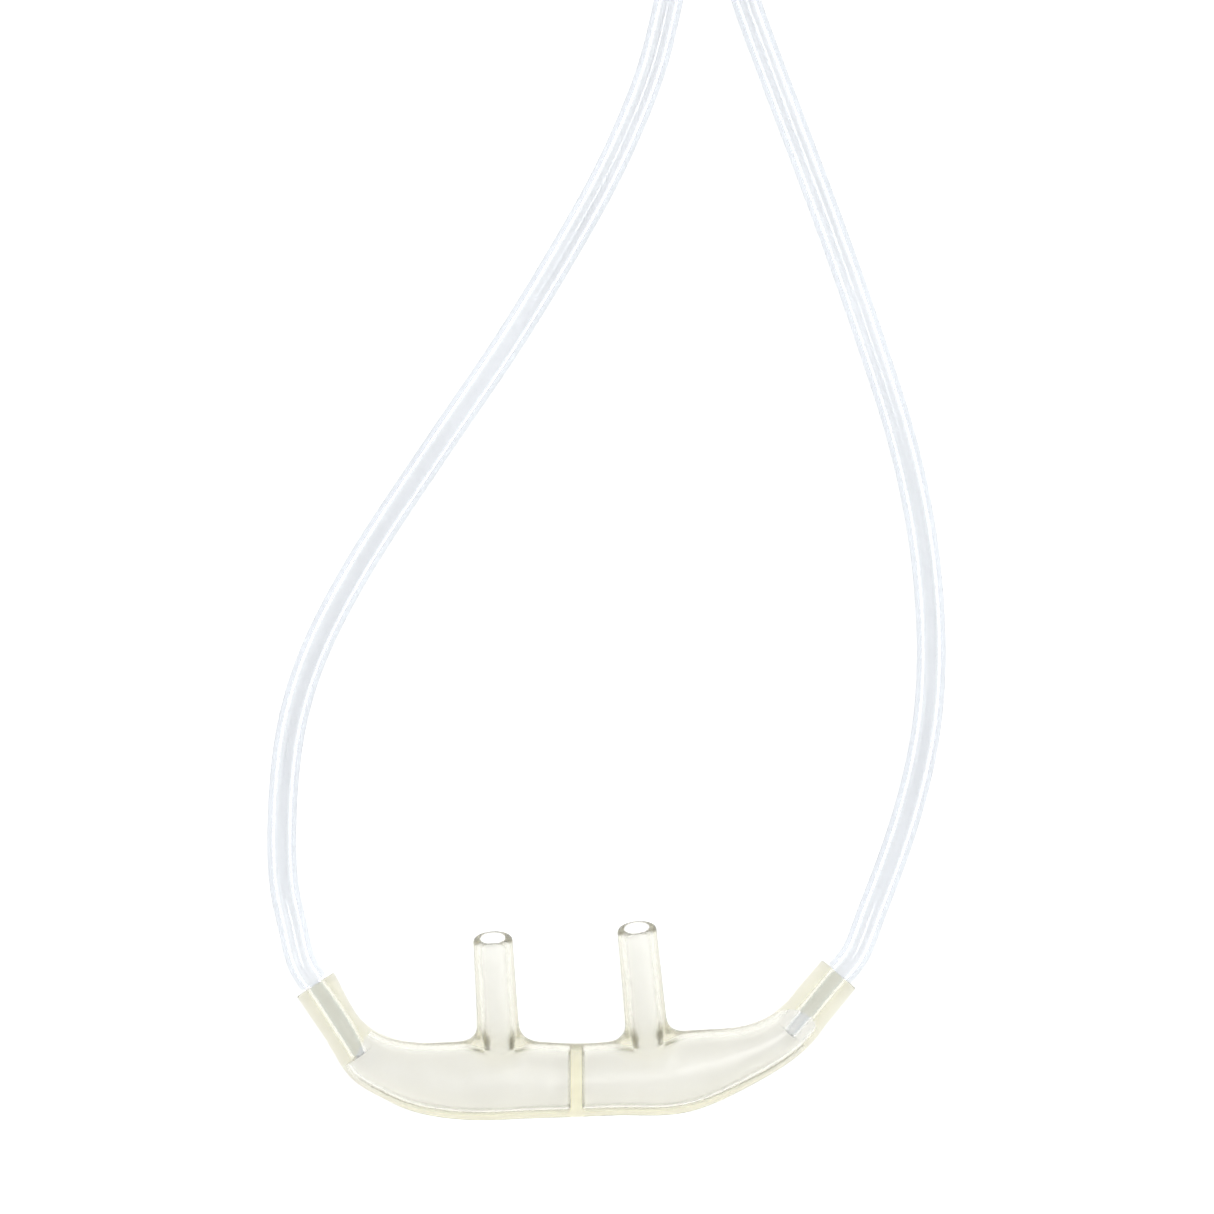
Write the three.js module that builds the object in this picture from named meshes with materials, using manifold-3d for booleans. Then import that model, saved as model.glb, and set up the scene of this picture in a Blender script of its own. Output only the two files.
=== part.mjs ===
// Carbon dioxide sampling nasal cannula, laid flat as it is stored.
// Millimetres. +Z is up from the surface, +X to the right and +Y away from the nosepiece.
// The nosepiece is a hollow moulding with two prongs and two sockets. An arm of fine tube runs
// from each socket, through a slider, to a Y junction, and one sample line goes on from there
// to a luer connector. Both spare lengths are wound into neat coils on the same surface.
import * as THREE from 'three';
import { mergeVertices } from 'three/addons/utils/BufferGeometryUtils.js';
import Module from 'manifold-3d';

// Tube that the arms and the sample line are cut from
const TUBE_OUTER_DIAMETER = 3.0;
const TURN_SPACING = 3.3;
const TUBE_SIDES = 8;
const STEP_IN_DIAMETERS = 2;

// Clearances: round a tube in its socket or sleeve, and end to end along a cord
const FIT_CLEARANCE = 0.3;
const END_CLEARANCE = 0.3;

// Nosepiece
const SOCKET_OUTER_DIAMETER = 4.6;
const LEFT_INSERTION = 8.7;
const RIGHT_INSERTION = 8.0;
const BODY_HALF_DEPTH = 3.2;
const BACK_FLAT_DEPTH = 0.25;
const BODY_WALL = 0.8;
const LIP_THICKNESS = 0.9;
const LIP_CUT = 0.15;
const LIP_Y = -9.92;
const LIP_SLOPE = 0.033;
const SEPTUM_THICKNESS = 1.15;
const PRONG_TIP_DIAMETER = 4.05;
const PRONG_ROOT_DIAMETER = 4.3;
const PRONG_BORE_DIAMETER = 2.55;
const PRONG_TILT = 21;
const PRONG_FILLET = 1.6;
const PRONG_LIP_ROUND = 0.35;

// Slider on the two arms
const SLIDER_LENGTH = 10.0;
const SLIDER_WALL = 0.9;
const ARM_SPACING = 4.4;
const SLIDER_START = 115;
const SLIDER_TRAVEL = 8;
const TWIN_CENTRE_X = 13.4;

// Coil of the two arms
const ARM_COIL_MEAN_RADIUS = 17;
const ARM_COIL_TURNS = 2;
const ARM_COIL_Y = 155.5;

// Y junction
const JUNCTION_X = 20.6;
const JUNCTION_START = 192;
const JUNCTION_PORT_OFFSET = 3.6;
const JUNCTION_OUTER_DIAMETER = 4.8;
const JUNCTION_PORT_LENGTH = 10;
const JUNCTION_STEM_LENGTH = 6;
const JUNCTION_INSERTION = 4;
const JUNCTION_PASSAGE_DIAMETER = 1.6;

// Coil of the sample line
const LINE_COIL_MEAN_RADIUS = 16;
const LINE_COIL_LAYERS = 4;
const LINE_COIL_TURNS_ACROSS = 3;
const LINE_COIL_LAST_SHARE = 0.25;
const LINE_COIL_X = -7.8;
const LINE_COIL_Y = 202.4;

// Luer connector at the far end
const LUER_COLLAR_DIAMETER = 8.8;
const LUER_COLLAR_BORE = 7.4;
const LUER_COLLAR_LENGTH = 8.5;
const LUER_TIP_DIAMETER = 4.0;
const LUER_TIP_LENGTH = 10.0;
const LUER_SHANK_DIAMETER = 5.6;
const LUER_LENGTH = 24;
const LUER_INSERTION = 7;
const LUER_PASSAGE_DIAMETER = 2.0;
const LUER_X = -26.9;
const LUER_START_Y = 163;

const TUBE_RADIUS = TUBE_OUTER_DIAMETER / 2;
const BORE_RADIUS = TUBE_RADIUS + FIT_CLEARANCE;
const SOCKET_RADIUS = SOCKET_OUTER_DIAMETER / 2;

const wasm = await Module();
wasm.setup();

const v3 = (x, y, z = 0) => new THREE.Vector3(x, y, z);
const radians = THREE.MathUtils.degToRad;

function toManifold(geometry) {
  const bare = geometry.clone();
  for (const name of Object.keys(bare.attributes)) {
    if (name !== 'position') bare.deleteAttribute(name);
  }
  const welded = mergeVertices(bare, 1e-5);
  return new wasm.Manifold(new wasm.Mesh({
    numProp: 3,
    vertProperties: new Float32Array(welded.attributes.position.array),
    triVerts: new Uint32Array(welded.index.array),
  }));
}

function toGeometry(solid) {
  const mesh = solid.getMesh();
  const geometry = new THREE.BufferGeometry();
  geometry.setAttribute('position', new THREE.BufferAttribute(new Float32Array(mesh.vertProperties), 3));
  geometry.setIndex(new THREE.BufferAttribute(new Uint32Array(mesh.triVerts), 1));
  geometry.computeVertexNormals();
  return geometry;
}

function join(geometries) {
  return geometries.map(toManifold).reduce((sum, solid) => sum.add(solid));
}

function carve(solid, geometries) {
  return geometries.map(toManifold).reduce((rest, cut) => rest.subtract(cut), solid);
}

// A closed skin over rings of points: each ring has the same number of points, in order.
function loft(rings) {
  const count = rings[0].length;
  const points = rings.flat();
  const index = [];
  for (let i = 0; i + 1 < rings.length; i += 1) {
    for (let j = 0; j < count; j += 1) {
      const a = i * count + j;
      const b = i * count + ((j + 1) % count);
      index.push(a, b, a + count, b, b + count, a + count);
    }
  }
  const last = (rings.length - 1) * count;
  for (let j = 1; j + 1 < count; j += 1) {
    index.push(0, j + 1, j, last, last + j, last + j + 1);
  }
  const geometry = new THREE.BufferGeometry();
  const values = new Float32Array(points.flatMap((p) => [p.x, p.y, p.z]));
  geometry.setAttribute('position', new THREE.BufferAttribute(values, 3));
  geometry.setIndex(index);
  geometry.computeVertexNormals();
  return geometry;
}

// A plain round bar or bore between two points.
function rod(from, to, radius, sides = 24) {
  const axis = to.clone().sub(from);
  const turn = new THREE.Quaternion().setFromUnitVectors(v3(0, 1, 0), axis.clone().normalize());
  const geometry = new THREE.CylinderGeometry(radius, radius, axis.length(), sides);
  geometry.applyQuaternion(turn);
  const middle = from.clone().add(to).multiplyScalar(0.5);
  geometry.translate(middle.x, middle.y, middle.z);
  return geometry;
}

// A turned shape about the line from a point along a direction; the profile is [radius, height] pairs.
function turned(profile, from, direction, flatten = 1, sides = 28) {
  const geometry = new THREE.LatheGeometry(profile.map(([r, h]) => new THREE.Vector2(r, h)), sides);
  geometry.scale(1, 1, flatten);
  geometry.applyQuaternion(new THREE.Quaternion().setFromUnitVectors(v3(0, 1, 0), direction));
  geometry.translate(from.x, from.y, from.z);
  return geometry;
}

// A cord's plain solid: an eight-sided section drawn along its route.
function cord(points) {
  const curve = new THREE.CatmullRomCurve3(points, false, 'centripetal');
  curve.arcLengthDivisions = 800;
  const section = new THREE.Shape();
  for (let k = 0; k < TUBE_SIDES; k += 1) {
    const angle = (2 * Math.PI * (k + 0.5)) / TUBE_SIDES;
    const x = TUBE_RADIUS * Math.cos(angle);
    const y = TUBE_RADIUS * Math.sin(angle);
    if (k === 0) section.moveTo(x, y);
    else section.lineTo(x, y);
  }
  section.closePath();
  const steps = Math.ceil(curve.getLength() / (STEP_IN_DIAMETERS * TUBE_OUTER_DIAMETER));
  return new THREE.ExtrudeGeometry(section, { steps, extrudePath: curve, curveSegments: 1 });
}

function ring(innerRadius, outerRadius, height, centre) {
  const corners = [[innerRadius, 0], [outerRadius, 0], [outerRadius, height], [innerRadius, height]];
  const profile = [...corners, corners[0]].map(([r, h]) => new THREE.Vector2(r, h));
  const geometry = new THREE.LatheGeometry(profile, 48);
  geometry.rotateX(Math.PI / 2);
  geometry.translate(centre.x, centre.y, 0);
  return geometry;
}

// The lip is one flat strip along the lower edge, on a slightly sloping line.
const lip = (x) => [x, LIP_Y + LIP_SLOPE * x];

// Nosepiece outline, seen from above: pairs of an upper and a lower edge point, with the half
// depth there, from the left socket's end round to the right socket's end.
const OUTLINE = [
  { upper: [-24.95, 4.66], lower: [-28.92, 2.32], depth: SOCKET_RADIUS, cut: 0 },
  { upper: [-21.35, -0.85], lower: [-25.32, -3.15], depth: SOCKET_RADIUS, cut: 0 },
  { upper: [-19.95, -1.65], lower: [-23.10, -6.25], depth: 2.6, cut: 0.02 },
  { upper: [-18.51, -2.10], lower: [-20.46, -7.85], depth: 2.85, cut: 0.06 },
  { upper: [-16.60, -2.40], lower: [-17.68, -9.12], depth: 3.05, cut: 0.10 },
  { upper: [-14.20, -2.42], lower: [-14.50, -9.90], depth: 3.15, cut: 0.13 },
  { upper: [-10.26, -2.20], lower: lip(-10.26), depth: BODY_HALF_DEPTH, cut: LIP_CUT },
  { upper: [-5.00, -2.25], lower: lip(-5.00), depth: BODY_HALF_DEPTH, cut: LIP_CUT },
  { upper: [0.00, -2.50], lower: lip(0.00), depth: BODY_HALF_DEPTH, cut: LIP_CUT },
  { upper: [4.80, -2.15], lower: lip(5.00), depth: BODY_HALF_DEPTH, cut: LIP_CUT },
  { upper: [10.40, -1.30], lower: lip(10.67), depth: BODY_HALF_DEPTH, cut: LIP_CUT },
  { upper: [12.70, -1.10], lower: [13.40, -8.85], depth: 3.15, cut: 0.13 },
  { upper: [15.90, -0.90], lower: [17.16, -7.16], depth: 3.05, cut: 0.10 },
  { upper: [18.80, -0.20], lower: [20.67, -5.25], depth: 2.85, cut: 0.06 },
  { upper: [21.10, 1.25], lower: [23.80, -2.95], depth: 2.55, cut: 0.02 },
  { upper: [22.60, 2.90], lower: [26.25, -0.05], depth: SOCKET_RADIUS, cut: 0 },
  { upper: [25.21, 5.93], lower: [28.92, 3.20], depth: SOCKET_RADIUS, cut: 0 },
];

// One section of the nosepiece: an oval across the outline, cut flat along the lip and the back.
function section(upper, lower, halfDepth, cut, back, points = 24) {
  const top = v3(...upper);
  const bottom = v3(...lower);
  const across = top.clone().sub(bottom);
  const halfHeight = across.length() / (2 - 2 * cut);
  const up = across.clone().normalize();
  const centre = top.clone().addScaledVector(up, -halfHeight);
  const ringPoints = [];
  for (let k = 0; k < points; k += 1) {
    const angle = (2 * Math.PI * k) / points;
    const along = Math.max(Math.cos(angle) * halfHeight, -halfHeight * (1 - 2 * cut));
    const height = Math.max(halfDepth * (1 + Math.sin(angle)), back);
    ringPoints.push(centre.clone().addScaledVector(up, along).setZ(height - back));
  }
  return ringPoints;
}

const outerRings = OUTLINE.map((s) => section(s.upper, s.lower, s.depth, s.cut, BACK_FLAT_DEPTH));

function midpoint(station) {
  return v3(
    (station.upper[0] + station.lower[0]) / 2,
    (station.upper[1] + station.lower[1]) / 2,
    station.depth - BACK_FLAT_DEPTH,
  );
}

// The mouth and the direction out of each socket.
const LEFT_MOUTH = midpoint(OUTLINE[0]);
const RIGHT_MOUTH = midpoint(OUTLINE[OUTLINE.length - 1]);
const LEFT_OUT = LEFT_MOUTH.clone().sub(midpoint(OUTLINE[1])).normalize();
const RIGHT_OUT = RIGHT_MOUTH.clone().sub(midpoint(OUTLINE[OUTLINE.length - 2])).normalize();

// The hollow on one side of the septum, following the outline inside the wall.
function cavity(stations, septumX) {
  const inset = (station) => {
    const up = v3(station.upper[0] - station.lower[0], station.upper[1] - station.lower[1]).normalize();
    return {
      upper: [station.upper[0] - up.x * BODY_WALL, station.upper[1] - up.y * BODY_WALL],
      lower: [station.lower[0] + up.x * LIP_THICKNESS, station.lower[1] + up.y * LIP_THICKNESS],
      depth: station.depth - BODY_WALL,
      cut: station.cut,
    };
  };
  const inner = stations.map(inset);
  const middle = inset(OUTLINE[8]);
  inner.push({ ...middle, upper: [septumX, middle.upper[1]], lower: [septumX, middle.lower[1]] });
  return loft(inner.map((s) => section(s.upper, s.lower, s.depth, s.cut, 0)
    .map((p) => p.setZ(p.z + BODY_WALL - BACK_FLAT_DEPTH))));
}

function flipped(geometry) {
  const index = Array.from(geometry.index.array);
  for (let i = 0; i < index.length; i += 3) {
    [index[i + 1], index[i + 2]] = [index[i + 2], index[i + 1]];
  }
  geometry.setIndex(index);
  return geometry;
}

// One prong: a lightly tapered tube with a rounded lip, on a fillet that runs into the body.
function prong(root, lean, length) {
  const tilt = radians(PRONG_TILT);
  const turn = radians(lean);
  const direction = v3(Math.sin(turn) * Math.cos(tilt), Math.cos(turn) * Math.cos(tilt), Math.sin(tilt));
  const rootRadius = PRONG_ROOT_DIAMETER / 2;
  const tipRadius = PRONG_TIP_DIAMETER / 2;
  const round = PRONG_LIP_ROUND;
  const stalk = [
    [0, 0], [rootRadius, 0], [rootRadius, 3], [tipRadius, length - round],
    [tipRadius - round * 0.3, length - round * 0.3], [tipRadius - round, length], [0, length],
  ];
  const start = 1.2;
  const flare = [[0, 0.2], [rootRadius + PRONG_FILLET * 0.8, 0.2]];
  for (let k = 0; k <= 6; k += 1) {
    const angle = (Math.PI / 2) * (k / 6);
    flare.push([
      rootRadius + PRONG_FILLET * (1 - Math.sin(angle)),
      start + PRONG_FILLET * (1 - Math.cos(angle)),
    ]);
  }
  flare.push([0, start + PRONG_FILLET]);
  const [boreStart, boreEnd] = [0.4, length + 1].map((h) => root.clone().addScaledVector(direction, h));
  return {
    solids: [turned(stalk, root, direction), turned(flare, root, direction, 0.8)],
    bore: rod(boreStart, boreEnd, PRONG_BORE_DIAMETER / 2),
  };
}

function socketBore(mouth, out, insertion) {
  const end = mouth.clone().addScaledVector(out, -(insertion + END_CLEARANCE));
  return rod(end, mouth.clone().addScaledVector(out, 1), BORE_RADIUS);
}

function nosepiece() {
  const left = prong(v3(-7.9, -3.5, 3.2), -3.0, 12.97);
  const right = prong(v3(7.45, -3.3, 3.2), -5.6, 13.93);
  const half = SEPTUM_THICKNESS / 2;
  const body = join([loft(outerRings), ...left.solids, ...right.solids]);
  const hollow = carve(body, [
    cavity(OUTLINE.slice(3, 8), -half),
    flipped(cavity(OUTLINE.slice(9, 14).reverse(), half)),
    socketBore(LEFT_MOUTH, LEFT_OUT, LEFT_INSERTION),
    socketBore(RIGHT_MOUTH, RIGHT_OUT, RIGHT_INSERTION),
    left.bore,
    right.bore,
  ]);
  return toGeometry(hollow);
}

// Slider: an oval sleeve with one bore for each arm.
const SLIDER_HEIGHT = 2 * (BORE_RADIUS + SLIDER_WALL);
const SLIDER_AXIS_Z = SLIDER_HEIGHT / 2;

function slider() {
  const radius = SLIDER_HEIGHT / 2;
  const half = ARM_SPACING / 2;
  const outline = new THREE.Shape();
  outline.moveTo(-half, -radius);
  outline.lineTo(half, -radius);
  outline.absarc(half, 0, radius, -Math.PI / 2, Math.PI / 2, false);
  outline.lineTo(-half, radius);
  outline.absarc(-half, 0, radius, Math.PI / 2, (3 * Math.PI) / 2, false);
  for (const side of [-half, half]) {
    const bore = new THREE.Path();
    bore.absarc(side, 0, BORE_RADIUS, 0, 2 * Math.PI, true);
    outline.holes.push(bore);
  }
  const options = { depth: SLIDER_LENGTH, bevelEnabled: false, curveSegments: 12 };
  const geometry = new THREE.ExtrudeGeometry(outline, options);
  geometry.rotateX(Math.PI / 2);
  geometry.translate(TWIN_CENTRE_X, SLIDER_START + SLIDER_LENGTH, SLIDER_AXIS_Z);
  return geometry;
}

// Y junction: two ports for the arms run into one stem for the sample line.
const JUNCTION_Z = JUNCTION_OUTER_DIAMETER / 2;
const JUNCTION_MEETING = v3(JUNCTION_X, JUNCTION_START + JUNCTION_PORT_LENGTH, JUNCTION_Z);
const JUNCTION_END = v3(JUNCTION_X, JUNCTION_MEETING.y + JUNCTION_STEM_LENGTH, JUNCTION_Z);

function junctionPort(side) {
  return v3(JUNCTION_X + side * JUNCTION_PORT_OFFSET, JUNCTION_START, JUNCTION_Z);
}

function junctionInward(side) {
  return JUNCTION_MEETING.clone().sub(junctionPort(side)).normalize();
}

function junction() {
  const radius = JUNCTION_OUTER_DIAMETER / 2;
  const passage = JUNCTION_PASSAGE_DIAMETER / 2;
  const stem = rod(JUNCTION_MEETING.clone().add(v3(0, -1, 0)), JUNCTION_END, radius);
  const solids = [stem];
  const bores = [];
  for (const side of [-1, 1]) {
    const port = junctionPort(side);
    const inward = junctionInward(side);
    solids.push(rod(port, JUNCTION_MEETING.clone().addScaledVector(inward, 1), radius));
    bores.push(rod(port.clone().addScaledVector(inward, -1),
      port.clone().addScaledVector(inward, JUNCTION_INSERTION + END_CLEARANCE), BORE_RADIUS));
    bores.push(rod(port, JUNCTION_MEETING.clone().addScaledVector(inward, 0.5), passage));
  }
  const stemBore = JUNCTION_END.clone().add(v3(0, -(JUNCTION_INSERTION + END_CLEARANCE), 0));
  bores.push(rod(stemBore, JUNCTION_END.clone().add(v3(0, 1, 0)), BORE_RADIUS));
  bores.push(rod(JUNCTION_MEETING.clone().add(v3(0, -0.5, 0)), JUNCTION_END, passage));
  return toGeometry(carve(join(solids), bores));
}

// Luer connector: a tapered tip in a collar, and a shank with grip ribs that takes the tube.
const LUER_AXIS = v3(0, -1, 0);
const LUER_BACK = v3(LUER_X, LUER_START_Y, LUER_COLLAR_DIAMETER / 2);

function luer() {
  const shank = LUER_SHANK_DIAMETER / 2;
  const collar = LUER_COLLAR_DIAMETER / 2;
  const front = LUER_LENGTH - (LUER_TIP_LENGTH - LUER_COLLAR_LENGTH);
  const collarBack = front - LUER_COLLAR_LENGTH;
  const profile = [
    [0, 0], [shank, 0], [shank, collarBack - 2.2], [collar, collarBack - 0.4], [collar, front],
    [LUER_COLLAR_BORE / 2, front], [LUER_COLLAR_BORE / 2, collarBack + 1],
    [LUER_TIP_DIAMETER / 2 + 0.2, collarBack + 1], [LUER_TIP_DIAMETER / 2, LUER_LENGTH], [0, LUER_LENGTH],
  ];
  const solids = [turned(profile, LUER_BACK, LUER_AXIS)];
  const ribLength = collarBack - 3.5;
  for (const side of [-1, 1]) {
    const rib = new THREE.BoxGeometry(1.6, ribLength, 1.4);
    rib.translate(LUER_BACK.x + side * (shank + 0.4), LUER_BACK.y - 1 - ribLength / 2, LUER_BACK.z);
    solids.push(rib);
  }
  const alongAxis = (h) => LUER_BACK.clone().addScaledVector(LUER_AXIS, h);
  const bores = [
    rod(alongAxis(-1), alongAxis(LUER_INSERTION + END_CLEARANCE), BORE_RADIUS),
    rod(LUER_BACK, alongAxis(LUER_LENGTH + 1), LUER_PASSAGE_DIAMETER / 2),
  ];
  return toGeometry(carve(join(solids), bores));
}

// Routes. The arms lie in a loose loop on the surface, come together and run side by side.
const FLOOR = TUBE_RADIUS;
const RAISED = SLIDER_AXIS_Z;
const twinX = (side) => TWIN_CENTRE_X + (side * ARM_SPACING) / 2;

const LEFT_ARM_ROUTE = [
  LEFT_MOUTH.clone().addScaledVector(LEFT_OUT, -LEFT_INSERTION),
  LEFT_MOUTH.clone().addScaledVector(LEFT_OUT, -LEFT_INSERTION / 2),
  LEFT_MOUTH,
  LEFT_MOUTH.clone().addScaledVector(LEFT_OUT, 2.2),
  v3(-29.2, 9.1, 1.7),
  v3(-30.0, 12.6, FLOOR),
  v3(-30.4, 18.4, FLOOR),
  v3(-30.15, 24.6, FLOOR),
  v3(-29.25, 30.8, FLOOR),
  v3(-27.35, 37.0, FLOOR),
  v3(-24.45, 43.1, FLOOR),
  v3(-20.8, 49.3, FLOOR),
  v3(-16.7, 55.5, FLOOR),
  v3(-12.5, 61.7, FLOOR),
  v3(-8.25, 67.9, FLOOR),
  v3(-4.3, 74.1, FLOOR),
  v3(-0.6, 80.3, FLOOR),
  v3(2.8, 86.4, FLOOR),
  v3(5.7, 92.6, FLOOR),
  v3(8.0, 98.8, FLOOR),
  v3(9.5, 105.0, FLOOR),
  v3(10.6, 110.3, 2.1),
  v3(twinX(-1), SLIDER_START, RAISED),
];

const RIGHT_ARM_ROUTE = [
  RIGHT_MOUTH.clone().addScaledVector(RIGHT_OUT, -RIGHT_INSERTION),
  RIGHT_MOUTH.clone().addScaledVector(RIGHT_OUT, -RIGHT_INSERTION / 2),
  RIGHT_MOUTH,
  RIGHT_MOUTH.clone().addScaledVector(RIGHT_OUT, 2.2),
  v3(30.0, 9.7, 1.7),
  v3(31.5, 13.6, FLOOR),
  v3(33.25, 18.4, FLOOR),
  v3(35.05, 24.6, FLOOR),
  v3(36.2, 30.8, FLOOR),
  v3(36.6, 37.0, FLOOR),
  v3(36.4, 43.1, FLOOR),
  v3(35.75, 49.3, FLOOR),
  v3(34.6, 55.5, FLOOR),
  v3(33.0, 61.7, FLOOR),
  v3(31.0, 67.9, FLOOR),
  v3(28.9, 74.1, FLOOR),
  v3(26.7, 80.3, FLOOR),
  v3(24.45, 86.4, FLOOR),
  v3(22.1, 92.6, FLOOR),
  v3(19.75, 98.8, FLOOR),
  v3(17.5, 105.0, FLOOR),
  v3(16.05, 110.3, 2.1),
  v3(twinX(1), SLIDER_START, RAISED),
];

// How far short of a coil's side a straight run along its outermost turn meets the coil.
function coilApproach(turnRadius, outerRadius) {
  return Math.sqrt((outerRadius + END_CLEARANCE) ** 2 - (turnRadius - TUBE_RADIUS) ** 2);
}

// The pair goes into its coil with the left arm above the right one, and comes out again on top.
const ARM_COIL_CENTRE = v3(TWIN_CENTRE_X - ARM_COIL_MEAN_RADIUS, ARM_COIL_Y, 0);
const ARM_COIL_OUTER = ARM_COIL_MEAN_RADIUS + TUBE_RADIUS;
const ARM_COIL_HEIGHT = 2 * TURN_SPACING * (ARM_COIL_TURNS + 1);
const ARM_COIL_APPROACH = coilApproach(ARM_COIL_MEAN_RADIUS, ARM_COIL_OUTER);
const PAIR_STRAIGHT_END = SLIDER_START + SLIDER_LENGTH + SLIDER_TRAVEL + 1;

function intoCoil(side) {
  const z = side < 0 ? FLOOR + TURN_SPACING : FLOOR;
  return [
    v3(twinX(side), PAIR_STRAIGHT_END - 9, RAISED),
    v3(twinX(side), PAIR_STRAIGHT_END, RAISED),
    v3(TWIN_CENTRE_X + side * 1.75, PAIR_STRAIGHT_END + 3, RAISED + 0.15 - side * 0.95),
    v3(TWIN_CENTRE_X + side * 1.0, PAIR_STRAIGHT_END + 6, RAISED + 0.4 - side * 1.55),
    v3(TWIN_CENTRE_X + side * 0.15, PAIR_STRAIGHT_END + 9, z),
    v3(TWIN_CENTRE_X, ARM_COIL_Y - ARM_COIL_APPROACH, z),
  ];
}

// From the top of the coil each arm comes down over a long slope to its port.
const OUT_OF_COIL_Y = ARM_COIL_Y + ARM_COIL_APPROACH;

function intoPort(side) {
  const port = junctionPort(side);
  const inward = junctionInward(side);
  return [-3, 0, JUNCTION_INSERTION].map((depth) => port.clone().addScaledVector(inward, depth));
}

const LEFT_END_ROUTE = [
  v3(13.3, OUT_OF_COIL_Y, 16.4),
  v3(13.5, 171.0, 13.6),
  v3(13.8, 176.0, 9.8),
  v3(14.3, 181.0, 6.1),
  v3(15.0, 185.5, 3.6),
  ...intoPort(-1),
];

const RIGHT_END_ROUTE = [
  v3(15.2, OUT_OF_COIL_Y, 12.9),
  v3(17.8, 171.0, 10.3),
  v3(21.0, 176.0, 7.4),
  v3(23.9, 181.0, 4.8),
  v3(25.4, 185.5, 3.1),
  ...intoPort(1),
];

// The sample line curls from the stem into its coil, and runs from the last turn to the connector.
// Its turns go in and out in layers, and each turn that changes layer bulges half a spacing.
const LINE_ENTRY_RADIUS = LINE_COIL_MEAN_RADIUS + (LINE_COIL_TURNS_ACROSS * TURN_SPACING) / 2;
const LINE_EXIT_RADIUS = LINE_ENTRY_RADIUS + LINE_COIL_LAST_SHARE * TURN_SPACING;
const LINE_WIDEST_TURN = LINE_ENTRY_RADIUS + TURN_SPACING / 2;
const LINE_COIL_CENTRE = v3(LINE_COIL_X, LINE_COIL_Y, 0);
const LINE_COIL_HEIGHT = LINE_COIL_LAYERS * TURN_SPACING;
const LINE_COIL_OUTER = LINE_WIDEST_TURN + TUBE_RADIUS;
const LINE_COIL_INNER = 2 * LINE_COIL_MEAN_RADIUS - LINE_COIL_OUTER;
const LINE_EXIT_APPROACH = coilApproach(LINE_EXIT_RADIUS, LINE_COIL_OUTER);

const LINE_START_ROUTE = [
  JUNCTION_END.clone().add(v3(0, -JUNCTION_INSERTION, 0)),
  JUNCTION_END,
  v3(20.0, 212.5, 1.9),
  v3(16.2, 218.5, FLOOR),
  v3(7.2, 223.4, FLOOR),
];

const LINE_END_ROUTE = [
  v3(LINE_COIL_X - LINE_EXIT_RADIUS, LINE_COIL_Y - LINE_EXIT_APPROACH, 10.8),
  v3(-29.4, 183.0, 9.5),
  v3(-28.7, 176.5, 7.3),
  v3(-27.6, 170.0, 5.2),
  LUER_BACK,
  LUER_BACK.clone().addScaledVector(LUER_AXIS, LUER_INSERTION),
];

const SOFT_CLEAR = { color: 0xe9e2d3, roughness: 0.3, metalness: 0 };
const TUBE_CLEAR = { color: 0xe6ebf0, roughness: 0.2, metalness: 0 };
const HARD_CLEAR = { color: 0xe4e9ea, roughness: 0.15, metalness: 0 };
const SLIDER_CLEAR = { color: 0xe3e6e6, roughness: 0.3, metalness: 0 };

function piece(name, geometry, finish) {
  const mesh = new THREE.Mesh(geometry, new THREE.MeshStandardMaterial(finish));
  mesh.name = name;
  return mesh;
}

const armCoil = ring(ARM_COIL_MEAN_RADIUS - TUBE_RADIUS, ARM_COIL_OUTER, ARM_COIL_HEIGHT, ARM_COIL_CENTRE);
const lineCoil = ring(LINE_COIL_INNER, LINE_COIL_OUTER, LINE_COIL_HEIGHT, LINE_COIL_CENTRE);

const cannula = new THREE.Group();
cannula.name = 'nasal_cannula';
cannula.add(
  piece('nosepiece', nosepiece(), SOFT_CLEAR),
  piece('left_arm', cord([...LEFT_ARM_ROUTE, ...intoCoil(-1)]), TUBE_CLEAR),
  piece('right_arm', cord([...RIGHT_ARM_ROUTE, ...intoCoil(1)]), TUBE_CLEAR),
  piece('slider', slider(), SLIDER_CLEAR),
  piece('arm_coil', armCoil, TUBE_CLEAR),
  piece('left_arm_end', cord(LEFT_END_ROUTE), TUBE_CLEAR),
  piece('right_arm_end', cord(RIGHT_END_ROUTE), TUBE_CLEAR),
  piece('y_junction', junction(), HARD_CLEAR),
  piece('sample_line', cord(LINE_START_ROUTE), TUBE_CLEAR),
  piece('sample_line_coil', lineCoil, TUBE_CLEAR),
  piece('sample_line_end', cord(LINE_END_ROUTE), TUBE_CLEAR),
  piece('luer_connector', luer(), HARD_CLEAR),
);

export default cannula;
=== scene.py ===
"""The seen model of a carbon dioxide sampling nasal cannula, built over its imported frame.

The soft nosepiece and the small mouldings are surfaces of smooth distance fields, worked out on
numpy grids. The tubes are hollow profiles carried along smooth routes. Sizes are in millimetres
and are turned to metres where a mesh is written.
"""
import logging
import math
from dataclasses import dataclass, field
from enum import Enum
from functools import cached_property
from typing import Callable

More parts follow.
